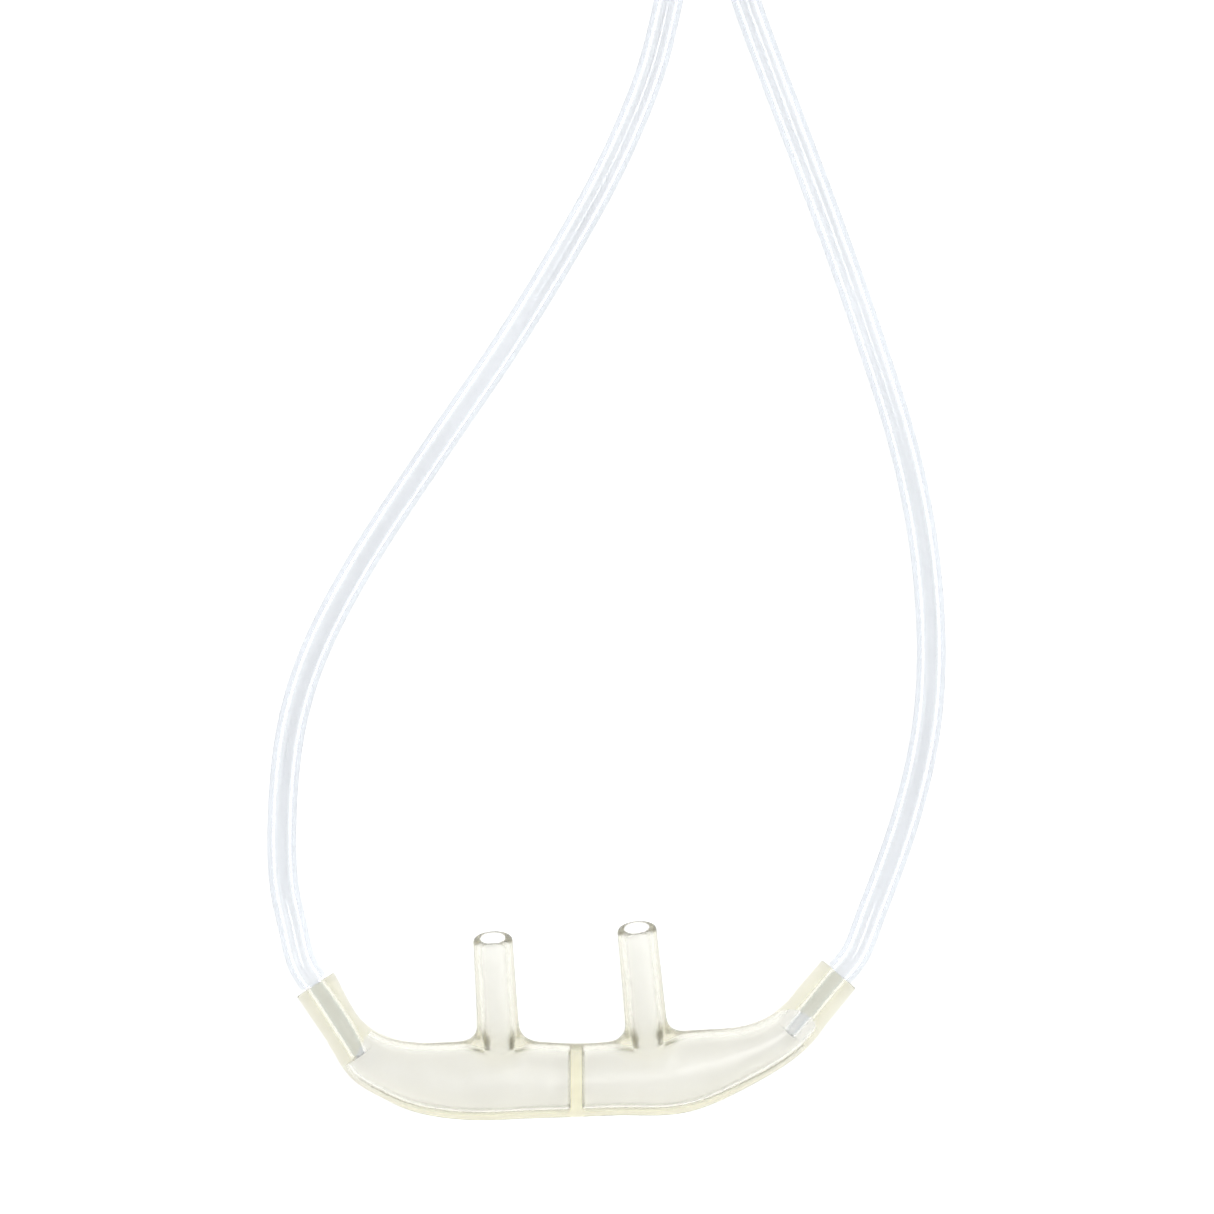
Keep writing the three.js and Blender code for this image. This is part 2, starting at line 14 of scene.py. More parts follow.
import bpy
import numpy as np
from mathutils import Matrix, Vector


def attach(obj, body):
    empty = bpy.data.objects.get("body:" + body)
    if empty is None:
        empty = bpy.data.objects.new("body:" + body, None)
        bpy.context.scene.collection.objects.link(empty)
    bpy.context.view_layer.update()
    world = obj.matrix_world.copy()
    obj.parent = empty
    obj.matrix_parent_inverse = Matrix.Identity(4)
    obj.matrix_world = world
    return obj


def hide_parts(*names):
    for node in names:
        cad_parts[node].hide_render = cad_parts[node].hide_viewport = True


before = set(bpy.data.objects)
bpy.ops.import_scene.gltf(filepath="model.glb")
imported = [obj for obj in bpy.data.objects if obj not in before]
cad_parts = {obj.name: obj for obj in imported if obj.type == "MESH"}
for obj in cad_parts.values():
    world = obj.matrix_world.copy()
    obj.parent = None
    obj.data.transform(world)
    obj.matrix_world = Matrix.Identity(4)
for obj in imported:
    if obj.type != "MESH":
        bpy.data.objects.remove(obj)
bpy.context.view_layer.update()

MM = 0.001
LOG = logging.getLogger("cannula")

Array = np.ndarray
Field = Callable[[Array, Array, Array], Array]


class Body(Enum):
    """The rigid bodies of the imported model."""

    CANNULA = "cannula"
    SLIDER = "slider"


class Side(Enum):
    """The two arms, by their place in the photograph."""

    LEFT = -1
    RIGHT = 1


# Colour and nodes


def linear(hex_colour: str) -> tuple[float, float, float, float]:
    """Turns an sRGB hex colour to linear light.

    Args:
        hex_colour: six hex digits, with or without a hash.

    Returns:
        Red, green and blue in linear light, and an alpha of 1.
    """
    digits = hex_colour.lstrip("#")
    channels = [int(digits[i:i + 2], 16) / 255 for i in (0, 2, 4)]
    light = [c / 12.92 if c <= 0.04045 else ((c + 0.055) / 1.055) ** 2.4 for c in channels]
    return light[0], light[1], light[2], 1.0


def add_node(tree: bpy.types.NodeTree, kind: str, links: dict | None = None, **settings) -> bpy.types.Node:
    """Adds one node to a tree.

    Args:
        tree: the node tree.
        kind: the node's type name.
        links: input name or number to the output socket that feeds it.
        settings: node attributes, or input values where the name is an input's with _ for spaces.

    Returns:
        The new node.
    """
    node = tree.nodes.new(kind)
    inputs = {socket.name.replace(" ", "_"): socket for socket in reversed(node.inputs)}
    for name, value in settings.items():
        if name in inputs:
            inputs[name].default_value = value
        else:
            setattr(node, name, value)
    for name, source in (links or {}).items():
        tree.links.new(source, node.inputs[name])
    return node


# Finishes


@dataclass(frozen=True)
class ClearPlastic:
    """A clear plastic that takes colour from its thickness, with a slight milkiness.

    The surface is smooth with a slight orange-peel from the mould, so highlights waver a little.
    Light that crosses the wall loses some of its blue, so thick places look warmer than thin ones.
    A small share of the light is scattered at each face, which gives soft walls a cloudy body. The hollows
    of the skin's relief carry painted shade: their base colour is a little darker than the rises'.
    """

    name: str
    hold_back: tuple[float, float, float]
    haze: float = 0.1
    haze_colour: str = "#f4f1ea"
    roughness: float = 0.05
    ior: float = 1.53
    peel_mm: float = 1.6
    peel_strength: float = 0.03
    # Share by which the hollows of the relief are painted darker, as painted shade.
    painted_hollow_shade: float = 0.0
    density: float = 100.0

    def relief(self, tree: bpy.types.NodeTree) -> bpy.types.NodeSocket:
        """The height pattern of the skin: soft noise, peel_mm from one rise to the next."""
        place = add_node(tree, "ShaderNodeTexCoord")
        noise = add_node(
            tree, "ShaderNodeTexNoise", {"Vector": place.outputs["Object"]},
            Scale=1.0 / (self.peel_mm * MM), Detail=2.0, Roughness=0.5,
        )
        return noise.outputs["Fac"]

    def material(self) -> bpy.types.Material:
        """Builds the material.

        Returns:
            A transmitting surface over an absorbing inside. hold_back is what a millimetre of the
            plastic takes from red, green and blue, as a share.
        """
        material = bpy.data.materials.new(self.name)
        material.use_nodes = True
        tree = material.node_tree
        tree.nodes.clear()
        relief = self.relief(tree)
        bump = add_node(
            tree, "ShaderNodeBump", {"Height": relief}, Strength=self.peel_strength, Distance=0.05 * MM)
        # Painted shade: the base colour is darker in the hollows of the relief than on its rises.
        shade = add_node(
            tree, "ShaderNodeMapRange", {"Value": relief},
            From_Min=0.35, From_Max=0.65, To_Min=1.0 - self.painted_hollow_shade, To_Max=1.0,
        )
        clear = add_node(
            tree, "ShaderNodeBsdfPrincipled",
            {"Normal": bump.outputs["Normal"], "Base Color": shade.outputs["Result"]},
            Roughness=self.roughness, IOR=self.ior, Transmission_Weight=1.0,
        )
        colour = linear(self.haze_colour)
        back = add_node(tree, "ShaderNodeBsdfDiffuse", Color=colour)
        through = add_node(tree, "ShaderNodeBsdfTranslucent", Color=colour)
        cloud = add_node(tree, "ShaderNodeMixShader", {1: back.outputs["BSDF"], 2: through.outputs["BSDF"]})
        surface = add_node(
            tree, "ShaderNodeMixShader",
            {1: clear.outputs["BSDF"], 2: cloud.outputs["Shader"]}, Fac=self.haze,
        )
        taken = [-math.log(1 - share) / MM / self.density for share in self.hold_back]
        inside = add_node(
            tree, "ShaderNodeVolumeAbsorption",
            Color=(1 - taken[0], 1 - taken[1], 1 - taken[2], 1.0), Density=self.density,
        )
        add_node(
            tree, "ShaderNodeOutputMaterial",
            {"Surface": surface.outputs["Shader"], "Volume": inside.outputs["Volume"]},
        )
        return material


@dataclass(frozen=True)
class ExtrudedPlastic(ClearPlastic):
    """The same for a tube: the die leaves fine lines that run along it, in place of orange-peel, with
    painted shade in the hollows between them.
    """

    def relief(self, tree: bpy.types.NodeTree) -> bpy.types.NodeSocket:
        """Noise of the tube's own grain attribute, which changes slowly along the tube."""
        grain = add_node(tree, "ShaderNodeAttribute", attribute_name="grain")
        noise = add_node(
            tree, "ShaderNodeTexNoise", {"Vector": grain.outputs["Vector"]},
            Scale=1.0 / self.peel_mm, Detail=1.0, Roughness=0.4,
        )
        return noise.outputs["Fac"]


@dataclass(frozen=True)
class SolventBond:
    """The faces where a tube is welded into a moulding with solvent: no air is left, so light goes
    straight through, and only a trace of cloudiness shows where the tube begins."""

    name: str = "solvent_bond"
    haze: float = 0.01
    haze_colour: str = "#f7f8fa"

    def material(self) -> bpy.types.Material:
        """Builds a see-through surface with a little diffuse white in it."""
        material = bpy.data.materials.new(self.name)
        material.use_nodes = True
        tree = material.node_tree
        tree.nodes.clear()
        straight = add_node(tree, "ShaderNodeBsdfTransparent", Color=(1.0, 1.0, 1.0, 1.0))
        cloud = add_node(tree, "ShaderNodeBsdfDiffuse", Color=linear(self.haze_colour))
        surface = add_node(
            tree, "ShaderNodeMixShader",
            {1: straight.outputs["BSDF"], 2: cloud.outputs["BSDF"]}, Fac=self.haze,
        )
        add_node(tree, "ShaderNodeOutputMaterial", {"Surface": surface.outputs["Shader"]})
        return material


@dataclass(frozen=True)
class Backdrop:
    """A white acrylic table top, lit softly from below, so that a clear part throws hardly any shadow."""

    name: str = "white_acrylic_table"
    colour: str = "#f6f6f4"
    glow: float = 0.60

    def material(self) -> bpy.types.Material:
        """Builds a matt white that also gives off a little light."""
        material = bpy.data.materials.new(self.name)
        material.use_nodes = True
        tree = material.node_tree
        tree.nodes.clear()
        surface = add_node(
            tree, "ShaderNodeBsdfPrincipled", Base_Color=linear(self.colour), Roughness=0.6,
            Emission_Color=(1.0, 1.0, 1.0, 1.0), Emission_Strength=self.glow,
        )
        add_node(tree, "ShaderNodeOutputMaterial", {"Surface": surface.outputs["BSDF"]})
        return material


# Soft vinyl, injection moulded: faintly cloudy, with a warm tint that turns amber where it is thick, and a
# little painted shade in the hollows of its orange-peel.
SOFT_VINYL = ClearPlastic(
    "soft_moulded_vinyl", (0.012, 0.017, 0.052), haze=0.05, haze_colour="#f4f1ea", roughness=0.25,
    ior=1.38, peel_mm=2.4, painted_hollow_shade=0.02,
)
# Vinyl tube, extruded: clearer and a little cool, with a glossy skin, fine lengthwise lines, and painted
# shade in the hollows between the lines.
TUBE_VINYL = ExtrudedPlastic(
    "extruded_vinyl_tube", (0.030, 0.018, 0.003), haze=0.02, haze_colour="#f2f5fb", roughness=0.15,
    ior=1.42, peel_mm=0.4, peel_strength=0.05, painted_hollow_shade=0.08,
)
# Rigid clear plastic, injection moulded: almost without colour and very glossy.
RIGID_CLEAR = ClearPlastic(
    "rigid_clear_moulding", (0.012, 0.008, 0.008), haze=0.02, haze_colour="#f2f4f5",
    roughness=0.02, ior=1.57,
)
# The welded faces inside the sockets, the junction and the connector.
BOND = SolventBond()


# Shapes as distance fields


def smooth_min(a: Array, b: Array, k: float) -> Array:
    """The smaller of two fields, with the crease between them rounded over a width k."""
    near = np.maximum(k - np.abs(a - b), 0.0)
    return np.minimum(a, b) - near * near / (4 * k)


def smooth_max(a: Array, b: Array, k: float) -> Array:
    """The larger of two fields, with the edge between them rounded over a width k."""
    return -smooth_min(-a, -b, k)


def rod_field(x: Array, y: Array, z: Array, start: Array, direction: Array, length: float,
              radius: float | Array, edge: float = 0.0) -> Array:
    """Distance to a round bar with rounded edges.

    With h the height along the axis and r the distance from it, the field is the distance to the
    rectangle r < radius, 0 < h < length, shrunk by the edge radius and grown again.

    Args:
        x: x of the points.
        y: y of the points.
        z: z of the points.
        start: the middle of the first end.
        direction: unit vector along the bar.
        length: length of the bar.
        radius: its radius, one number or one for each point.
        edge: radius of the rounded edges.

    Returns:
        The distance, negative inside.
    """
    dx, dy, dz = x - start[0], y - start[1], z - start[2]
    h = dx * direction[0] + dy * direction[1] + dz * direction[2]
    r = np.sqrt(np.maximum(dx * dx + dy * dy + dz * dz - h * h, 0.0))
    out_r = r - radius + edge
    out_h = np.abs(h - length / 2) - length / 2 + edge
    inside = np.minimum(np.maximum(out_r, out_h), 0.0)
    return inside + np.hypot(np.maximum(out_r, 0.0), np.maximum(out_h, 0.0)) - edge


def isosurface(value: Field, low: Array, high: Array, cell: float, settle: int = 3) -> tuple[Array, Array]:
    """The surface where a field is zero, as quads.

    Each grid cell that the surface crosses gets one vertex, at the mean of the crossings on its
    edges. Each grid edge that the surface crosses gets one quad, between the four cells round it.
    The vertices then move along the field's slope by field over slope, a few times, until they
    lie on the surface.

    Args:
        value: the field, of broadcasting x, y and z arrays.
        low: lowest corner of the grid.
        high: highest corner of the grid.
        cell: grid spacing.
        settle: how many times the vertices are moved on to the surface.

    Returns:
        Vertices (n, 3) and quads (m, 4) with outward order.
    """
    axes = [np.arange(low[k], high[k] + cell, cell) for k in range(3)]
    shape = tuple(len(a) for a in axes)
    values = np.broadcast_to(
        value(axes[0][:, None, None], axes[1][None, :, None], axes[2][None, None, :]), shape)
    inside = values < 0
    corners = [(i, j, k) for i in (0, 1) for j in (0, 1) for k in (0, 1)]
    cut = tuple(slice(0, n - 1) for n in shape)

    def shifted(grid: Array, offset: tuple[int, int, int]) -> Array:
        """The grid of cells' values at one of their corners."""
        return grid[tuple(slice(o, n - 1 + o) for o, n in zip(offset, shape))]

    count = sum(shifted(inside, c).astype(np.int8) for c in corners)
    active = (count > 0) & (count < 8)
    number = np.full(active.shape, -1, np.int64)
    number[active] = np.arange(int(active.sum()))
    cells = np.argwhere(active)
    total = np.zeros((len(cells), 3))
    hits = np.zeros(len(cells))
    for first in corners:
        for axis in range(3):
            if first[axis]:
                continue
            second = tuple(c + (k == axis) for k, c in enumerate(first))
            a = values[tuple((cells + first).T)]
            b = values[tuple((cells + second).T)]
            crossed = (a < 0) != (b < 0)
            share = np.where(crossed, a / np.where(crossed, a - b, 1.0), 0.0)
            step = np.zeros(3)
            step[axis] = 1.0
            total += crossed[:, None] * (np.array(first) + share[:, None] * step)
            hits += crossed
    vertices = np.array(low) + cell * (cells + total / hits[:, None])

    quads = []
    for axis in range(3):
        u, v = (axis + 1) % 3, (axis + 2) % 3
        lower = [slice(None)] * 3
        upper = [slice(None)] * 3
        lower[axis], upper[axis] = slice(0, -1), slice(1, None)
        for side in (u, v):
            lower[side] = upper[side] = slice(1, -1)
        start = inside[tuple(lower)]
        edges = np.argwhere(start != inside[tuple(upper)])
        leaving = start[tuple(edges.T)]
        edges = edges + [int(k != axis) for k in range(3)]
        step_u, step_v = np.zeros(3, int), np.zeros(3, int)
        step_u[u], step_v[v] = 1, 1
        ring = np.stack([number[tuple((edges - s).T)] for s in
                         (step_u + step_v, step_v, np.zeros(3, int), step_u)], 1)
        quads.append(np.where(leaving[:, None], ring, ring[:, ::-1]))
    faces = np.concatenate(quads)
    faces = faces[(faces >= 0).all(1)]

    tiny = cell * 0.02
    for _ in range(settle):
        here = value(*vertices.T)
        slope = np.stack([
            (value(*(vertices + tiny * np.eye(3)[k]).T) - value(*(vertices - tiny * np.eye(3)[k]).T))
            / (2 * tiny) for k in range(3)], 1)
        steep = np.maximum((slope ** 2).sum(1), 0.25)
        move = -(here / steep)[:, None] * slope
        reach = np.linalg.norm(move, axis=1, keepdims=True)
        vertices = vertices + move * np.minimum(1.0, 0.4 * cell / np.maximum(reach, 1e-12))
    return vertices, faces


# Meshes and routes


def put_mesh(name: str, vertices: Array, faces: Array) -> bpy.types.Object:
    """Writes vertices in millimetres and quads into a smooth-shaded object at the origin."""
    mesh = bpy.data.meshes.new(name)
    mesh.from_pydata((vertices * MM).tolist(), [], faces.tolist())
    mesh.polygons.foreach_set("use_smooth", np.ones(len(mesh.polygons), bool))
    mesh.update()
    obj = bpy.data.objects.new(name, mesh)
    bpy.context.scene.collection.objects.link(obj)
    return obj


def spline(points: Array, step: float) -> Array:
    """A natural cubic spline through points, resampled evenly.

    The knots are the chord lengths. The second derivatives solve the usual three-term system,
    and each span is the cubic that has them at its ends.

    Args:
        points: (n, k) points.
        step: distance between the points returned.

    Returns:
        (m, k) points a step apart along the curve.
    """
    gaps = np.linalg.norm(np.diff(points, axis=0), axis=1)
    knots = np.concatenate([[0.0], np.cumsum(gaps)])
    n = len(points)
    inner = np.arange(1, n - 1)
    system = np.zeros((n, n))
    system[0, 0] = system[-1, -1] = 1.0
    system[inner, inner - 1] = gaps[:-1]
    system[inner, inner] = 2 * (gaps[:-1] + gaps[1:])
    system[inner, inner + 1] = gaps[1:]
    right = np.zeros_like(points)
    slopes = np.diff(points, axis=0) / gaps[:, None]
    right[1:-1] = 6 * (slopes[1:] - slopes[:-1])
    bend = np.linalg.solve(system, right)
    fine = np.linspace(0.0, knots[-1], max(8 * n, int(knots[-1] / step) * 6))
    i = np.clip(np.searchsorted(knots, fine) - 1, 0, n - 2)
    w, a, b = gaps[i, None], (knots[i + 1] - fine)[:, None], (fine - knots[i])[:, None]
    dense = (
        bend[i] * a ** 3 / (6 * w) + bend[i + 1] * b ** 3 / (6 * w)
        + (points[i] / w - bend[i] * w / 6) * a + (points[i + 1] / w - bend[i + 1] * w / 6) * b
    )
    along = np.concatenate([[0.0], np.cumsum(np.linalg.norm(np.diff(dense, axis=0), axis=1))])
    even = np.linspace(0.0, along[-1], max(2, round(along[-1] / step) + 1))
    return np.stack([np.interp(even, along, dense[:, k]) for k in range(points.shape[1])], 1)


def weld_faces(obj: bpy.types.Object, welded: Array) -> None:
    """Gives the bond's material to some of an object's faces.

    Args:
        obj: a mesh object whose first material is its own.
        welded: one boolean for each face.
    """
    obj.data.materials.append(BOND.material())
    obj.data.polygons.foreach_set("material_index", welded.astype(np.int32))


def in_bore(points: Array, mouth: Array, inward: Array, depth: float, radius: float) -> Array:
    """Which points lie in a round hole, nearer its axis than a radius.

    Args:
        points: (n, 3) points.
        mouth: the middle of the hole's mouth.
        inward: unit vector into the hole.
        depth: how deep the hole is looked at.
        radius: a little more than the hole's own.

    Returns:
        One boolean for each point.
    """
    offset = points - mouth
    h = offset @ inward
    r = np.linalg.norm(offset - h[:, None] * inward, axis=1)
    return (r < radius) & (h > 0.05) & (h < depth)


def tube_mesh(name: str, path: Array, outer: float, inner: float, sides: int) -> bpy.types.Object:
    """A hollow tube along a path.

    At each point of the path the side vector is tangent cross Z, and the up vector is side cross
    tangent. A ring's point at angle t is the path's point plus radius times
    (cos t side + sin t up). The outer and inner skins are joined by a flat ring at each end. The
    attribute "grain" holds radius times (cos t, sin t), and a fortieth of the length so far.

    Args:
        name: the object's name.
        path: (n, 3) centreline.
        outer: outer radius.
        inner: bore radius.
        sides: points round the section.

    Returns:
        The object.
    """
    tangent = np.gradient(path, axis=0)
    tangent /= np.linalg.norm(tangent, axis=1, keepdims=True)
    side = np.cross(tangent, [0.0, 0.0, 1.0])
    side /= np.linalg.norm(side, axis=1, keepdims=True)
    up = np.cross(side, tangent)
    t = 2 * np.pi * np.arange(sides) / sides
    spoke = np.cos(t)[None, :, None] * side[:, None] + np.sin(t)[None, :, None] * up[:, None]
    skins = [path[:, None] + radius * spoke for radius in (outer, inner)]
    vertices = np.concatenate([s.reshape(-1, 3) for s in skins])
    n = len(path)
    number = np.arange(2 * n * sides).reshape(2, n, sides)
    ahead = np.roll(number, -1, axis=2)
    out = np.stack([number[0, :-1], number[0, 1:], ahead[0, 1:], ahead[0, :-1]], -1)
    bore = np.stack([number[1, :-1], ahead[1, :-1], ahead[1, 1:], number[1, 1:]], -1)
    first = np.stack([number[0, 0], ahead[0, 0], ahead[1, 0], number[1, 0]], -1)
    last = np.stack([number[0, -1], number[1, -1], ahead[1, -1], ahead[0, -1]], -1)
    faces = np.concatenate([grid.reshape(-1, 4) for grid in (out, bore, first, last)])
    obj = put_mesh(name, vertices, faces)
    length = np.concatenate([[0.0], np.cumsum(np.linalg.norm(np.diff(path, axis=0), axis=1))])
    grain = np.empty((2, n, sides, 3))
    for skin, radius in enumerate((outer, inner)):
        grain[skin, :, :, 0], grain[skin, :, :, 1] = radius * np.cos(t), radius * np.sin(t)
    grain[..., 2] = length[None, :, None] / 40.0
    attribute = obj.data.attributes.new("grain", "FLOAT_VECTOR", "POINT")
    attribute.data.foreach_set("vector", grain.ravel().astype(np.float32))
    return obj


# The photograph's view


@dataclass(frozen=True)
class PhotoView:
    """The camera: straight above, on a long lens, framed as the photograph is."""

    picture_px: float = 1214.0
    px_per_mm: float = 9.7
    septum_px: float = 576.5
    centre_row_px: float = 1018.5
    height_mm: float = 700.0
    sensor_mm: float = 36.0
    subject_z_mm: float = 2.0

    def add(self) -> bpy.types.Object:
        """Adds the camera and makes it the scene's."""
        width = self.picture_px / self.px_per_mm
        x = (self.picture_px / 2 - self.septum_px) / self.px_per_mm
        y = (self.centre_row_px - self.picture_px / 2) / self.px_per_mm
        data = bpy.data.cameras.new("camera")
        data.sensor_width = self.sensor_mm
        data.lens = self.sensor_mm * (self.height_mm - self.subject_z_mm) / width
        data.clip_start, data.clip_end = 0.01, 10.0
        camera = bpy.data.objects.new("camera", data)
        camera.location = Vector((x, y, self.height_mm)) * MM
        bpy.context.scene.collection.objects.link(camera)
        bpy.context.scene.camera = camera
        return camera


# Sizes that the pieces share


@dataclass(frozen=True)
class TubeStock:
    """The fine tube that the arms and the line are cut from, and how its turns are spaced."""

    outer_mm: float = 3.0
    bore_mm: float = 1.5
    turn_spacing_mm: float = 3.3
    weld_reach_mm: float = 0.25

    @property
    def radius(self) -> float:
        """Half the outer diameter, which is also the height of a tube that lies on the surface."""
        return self.outer_mm / 2


TUBE = TubeStock()
LIP_Y, LIP_SLOPE = -9.92, 0.033
BACK_FLAT = 0.25
SOCKET_RADIUS = 2.3
# How far each arm goes into its socket.
SOCKET_INSERTION: dict[Side, float] = {Side.LEFT: 8.7, Side.RIGHT: 8.0}


def on_lip(x: float) -> tuple[float, float]:
    """The lip's outer edge at x."""
    return x, LIP_Y + LIP_SLOPE * x


# Upper edge, lower edge, half depth and lip cut, from the left socket's end to the right one's.
OUTLINE: list[tuple[tuple[float, float], tuple[float, float], float, float]] = [
    ((-24.95, 4.66), (-28.92, 2.32), SOCKET_RADIUS, 0.0),
    ((-21.35, -0.85), (-25.32, -3.15), SOCKET_RADIUS, 0.0),
    ((-19.95, -1.65), (-23.10, -6.25), 2.6, 0.02),
    ((-18.51, -2.10), (-20.46, -7.85), 2.85, 0.06),
    ((-16.60, -2.40), (-17.68, -9.12), 3.05, 0.10),
    ((-14.20, -2.42), (-14.50, -9.90), 3.15, 0.13),
    ((-10.26, -2.20), on_lip(-10.26), 3.2, 0.15),
    ((-5.00, -2.25), on_lip(-5.00), 3.2, 0.15),
    ((0.00, -2.50), on_lip(0.00), 3.2, 0.15),
    ((4.80, -2.15), on_lip(5.00), 3.2, 0.15),
    ((10.40, -1.30), on_lip(10.67), 3.2, 0.15),
    ((12.70, -1.10), (13.40, -8.85), 3.15, 0.13),
    ((15.90, -0.90), (17.16, -7.16), 3.05, 0.10),
    ((18.80, -0.20), (20.67, -5.25), 2.85, 0.06),
    ((21.10, 1.25), (23.80, -2.95), 2.55, 0.02),
    ((22.60, 2.90), (26.25, -0.05), SOCKET_RADIUS, 0.0),
    ((25.21, 5.93), (28.92, 3.20), SOCKET_RADIUS, 0.0),
]


def socket_mouth(side: Side) -> tuple[Array, Array]:
    """The middle of a socket's end, and the unit vector out of it."""
    ends = (OUTLINE[0], OUTLINE[1]) if side is Side.LEFT else (OUTLINE[-1], OUTLINE[-2])
    middles = [np.array([(s[0][0] + s[1][0]) / 2, (s[0][1] + s[1][1]) / 2, s[2] - BACK_FLAT]) for s in ends]
    out = middles[0] - middles[1]
    return middles[0], out / np.linalg.norm(out)


# Nosepiece


@dataclass(frozen=True)
class Prong:
    """One prong of the nosepiece: a lightly tapered tube with a rounded lip."""

    root_mm: tuple[float, float, float]
    lean_deg: float
    length_mm: float
    tilt_deg: float = 21.0
    root_radius_mm: float = 2.15
    tip_radius_mm: float = 2.025
    bore_radius_mm: float = 1.275
    lip_round_mm: float = 0.38

    @property
    def direction(self) -> Array:
        """Unit vector from the root to the tip: up the picture, leaning aside and tilted up."""
        lean, tilt = math.radians(self.lean_deg), math.radians(self.tilt_deg)
        return np.array([math.sin(lean) * math.cos(tilt), math.cos(lean) * math.cos(tilt), math.sin(tilt)])

    def outside(self, x: Array, y: Array, z: Array) -> Array:
        """Distance to the prong without its bore; the radius falls evenly from root to tip."""
        d, root = self.direction, self.root_mm
        h = (x - root[0]) * d[0] + (y - root[1]) * d[1] + (z - root[2]) * d[2]
        share = np.clip((h - 3.0) / (self.length_mm - 3.0), 0.0, 1.0)
        radius = self.root_radius_mm + (self.tip_radius_mm - self.root_radius_mm) * share
        return rod_field(x, y, z, np.array(root), d, self.length_mm, radius, self.lip_round_mm)

    def bore(self, x: Array, y: Array, z: Array) -> Array:
        """Distance to the prong's bore, which runs from the hollow body out past the lip."""
        start = np.array(self.root_mm) + 0.4 * self.direction
        return rod_field(x, y, z, start, self.direction, self.length_mm + 3.0, self.bore_radius_mm)


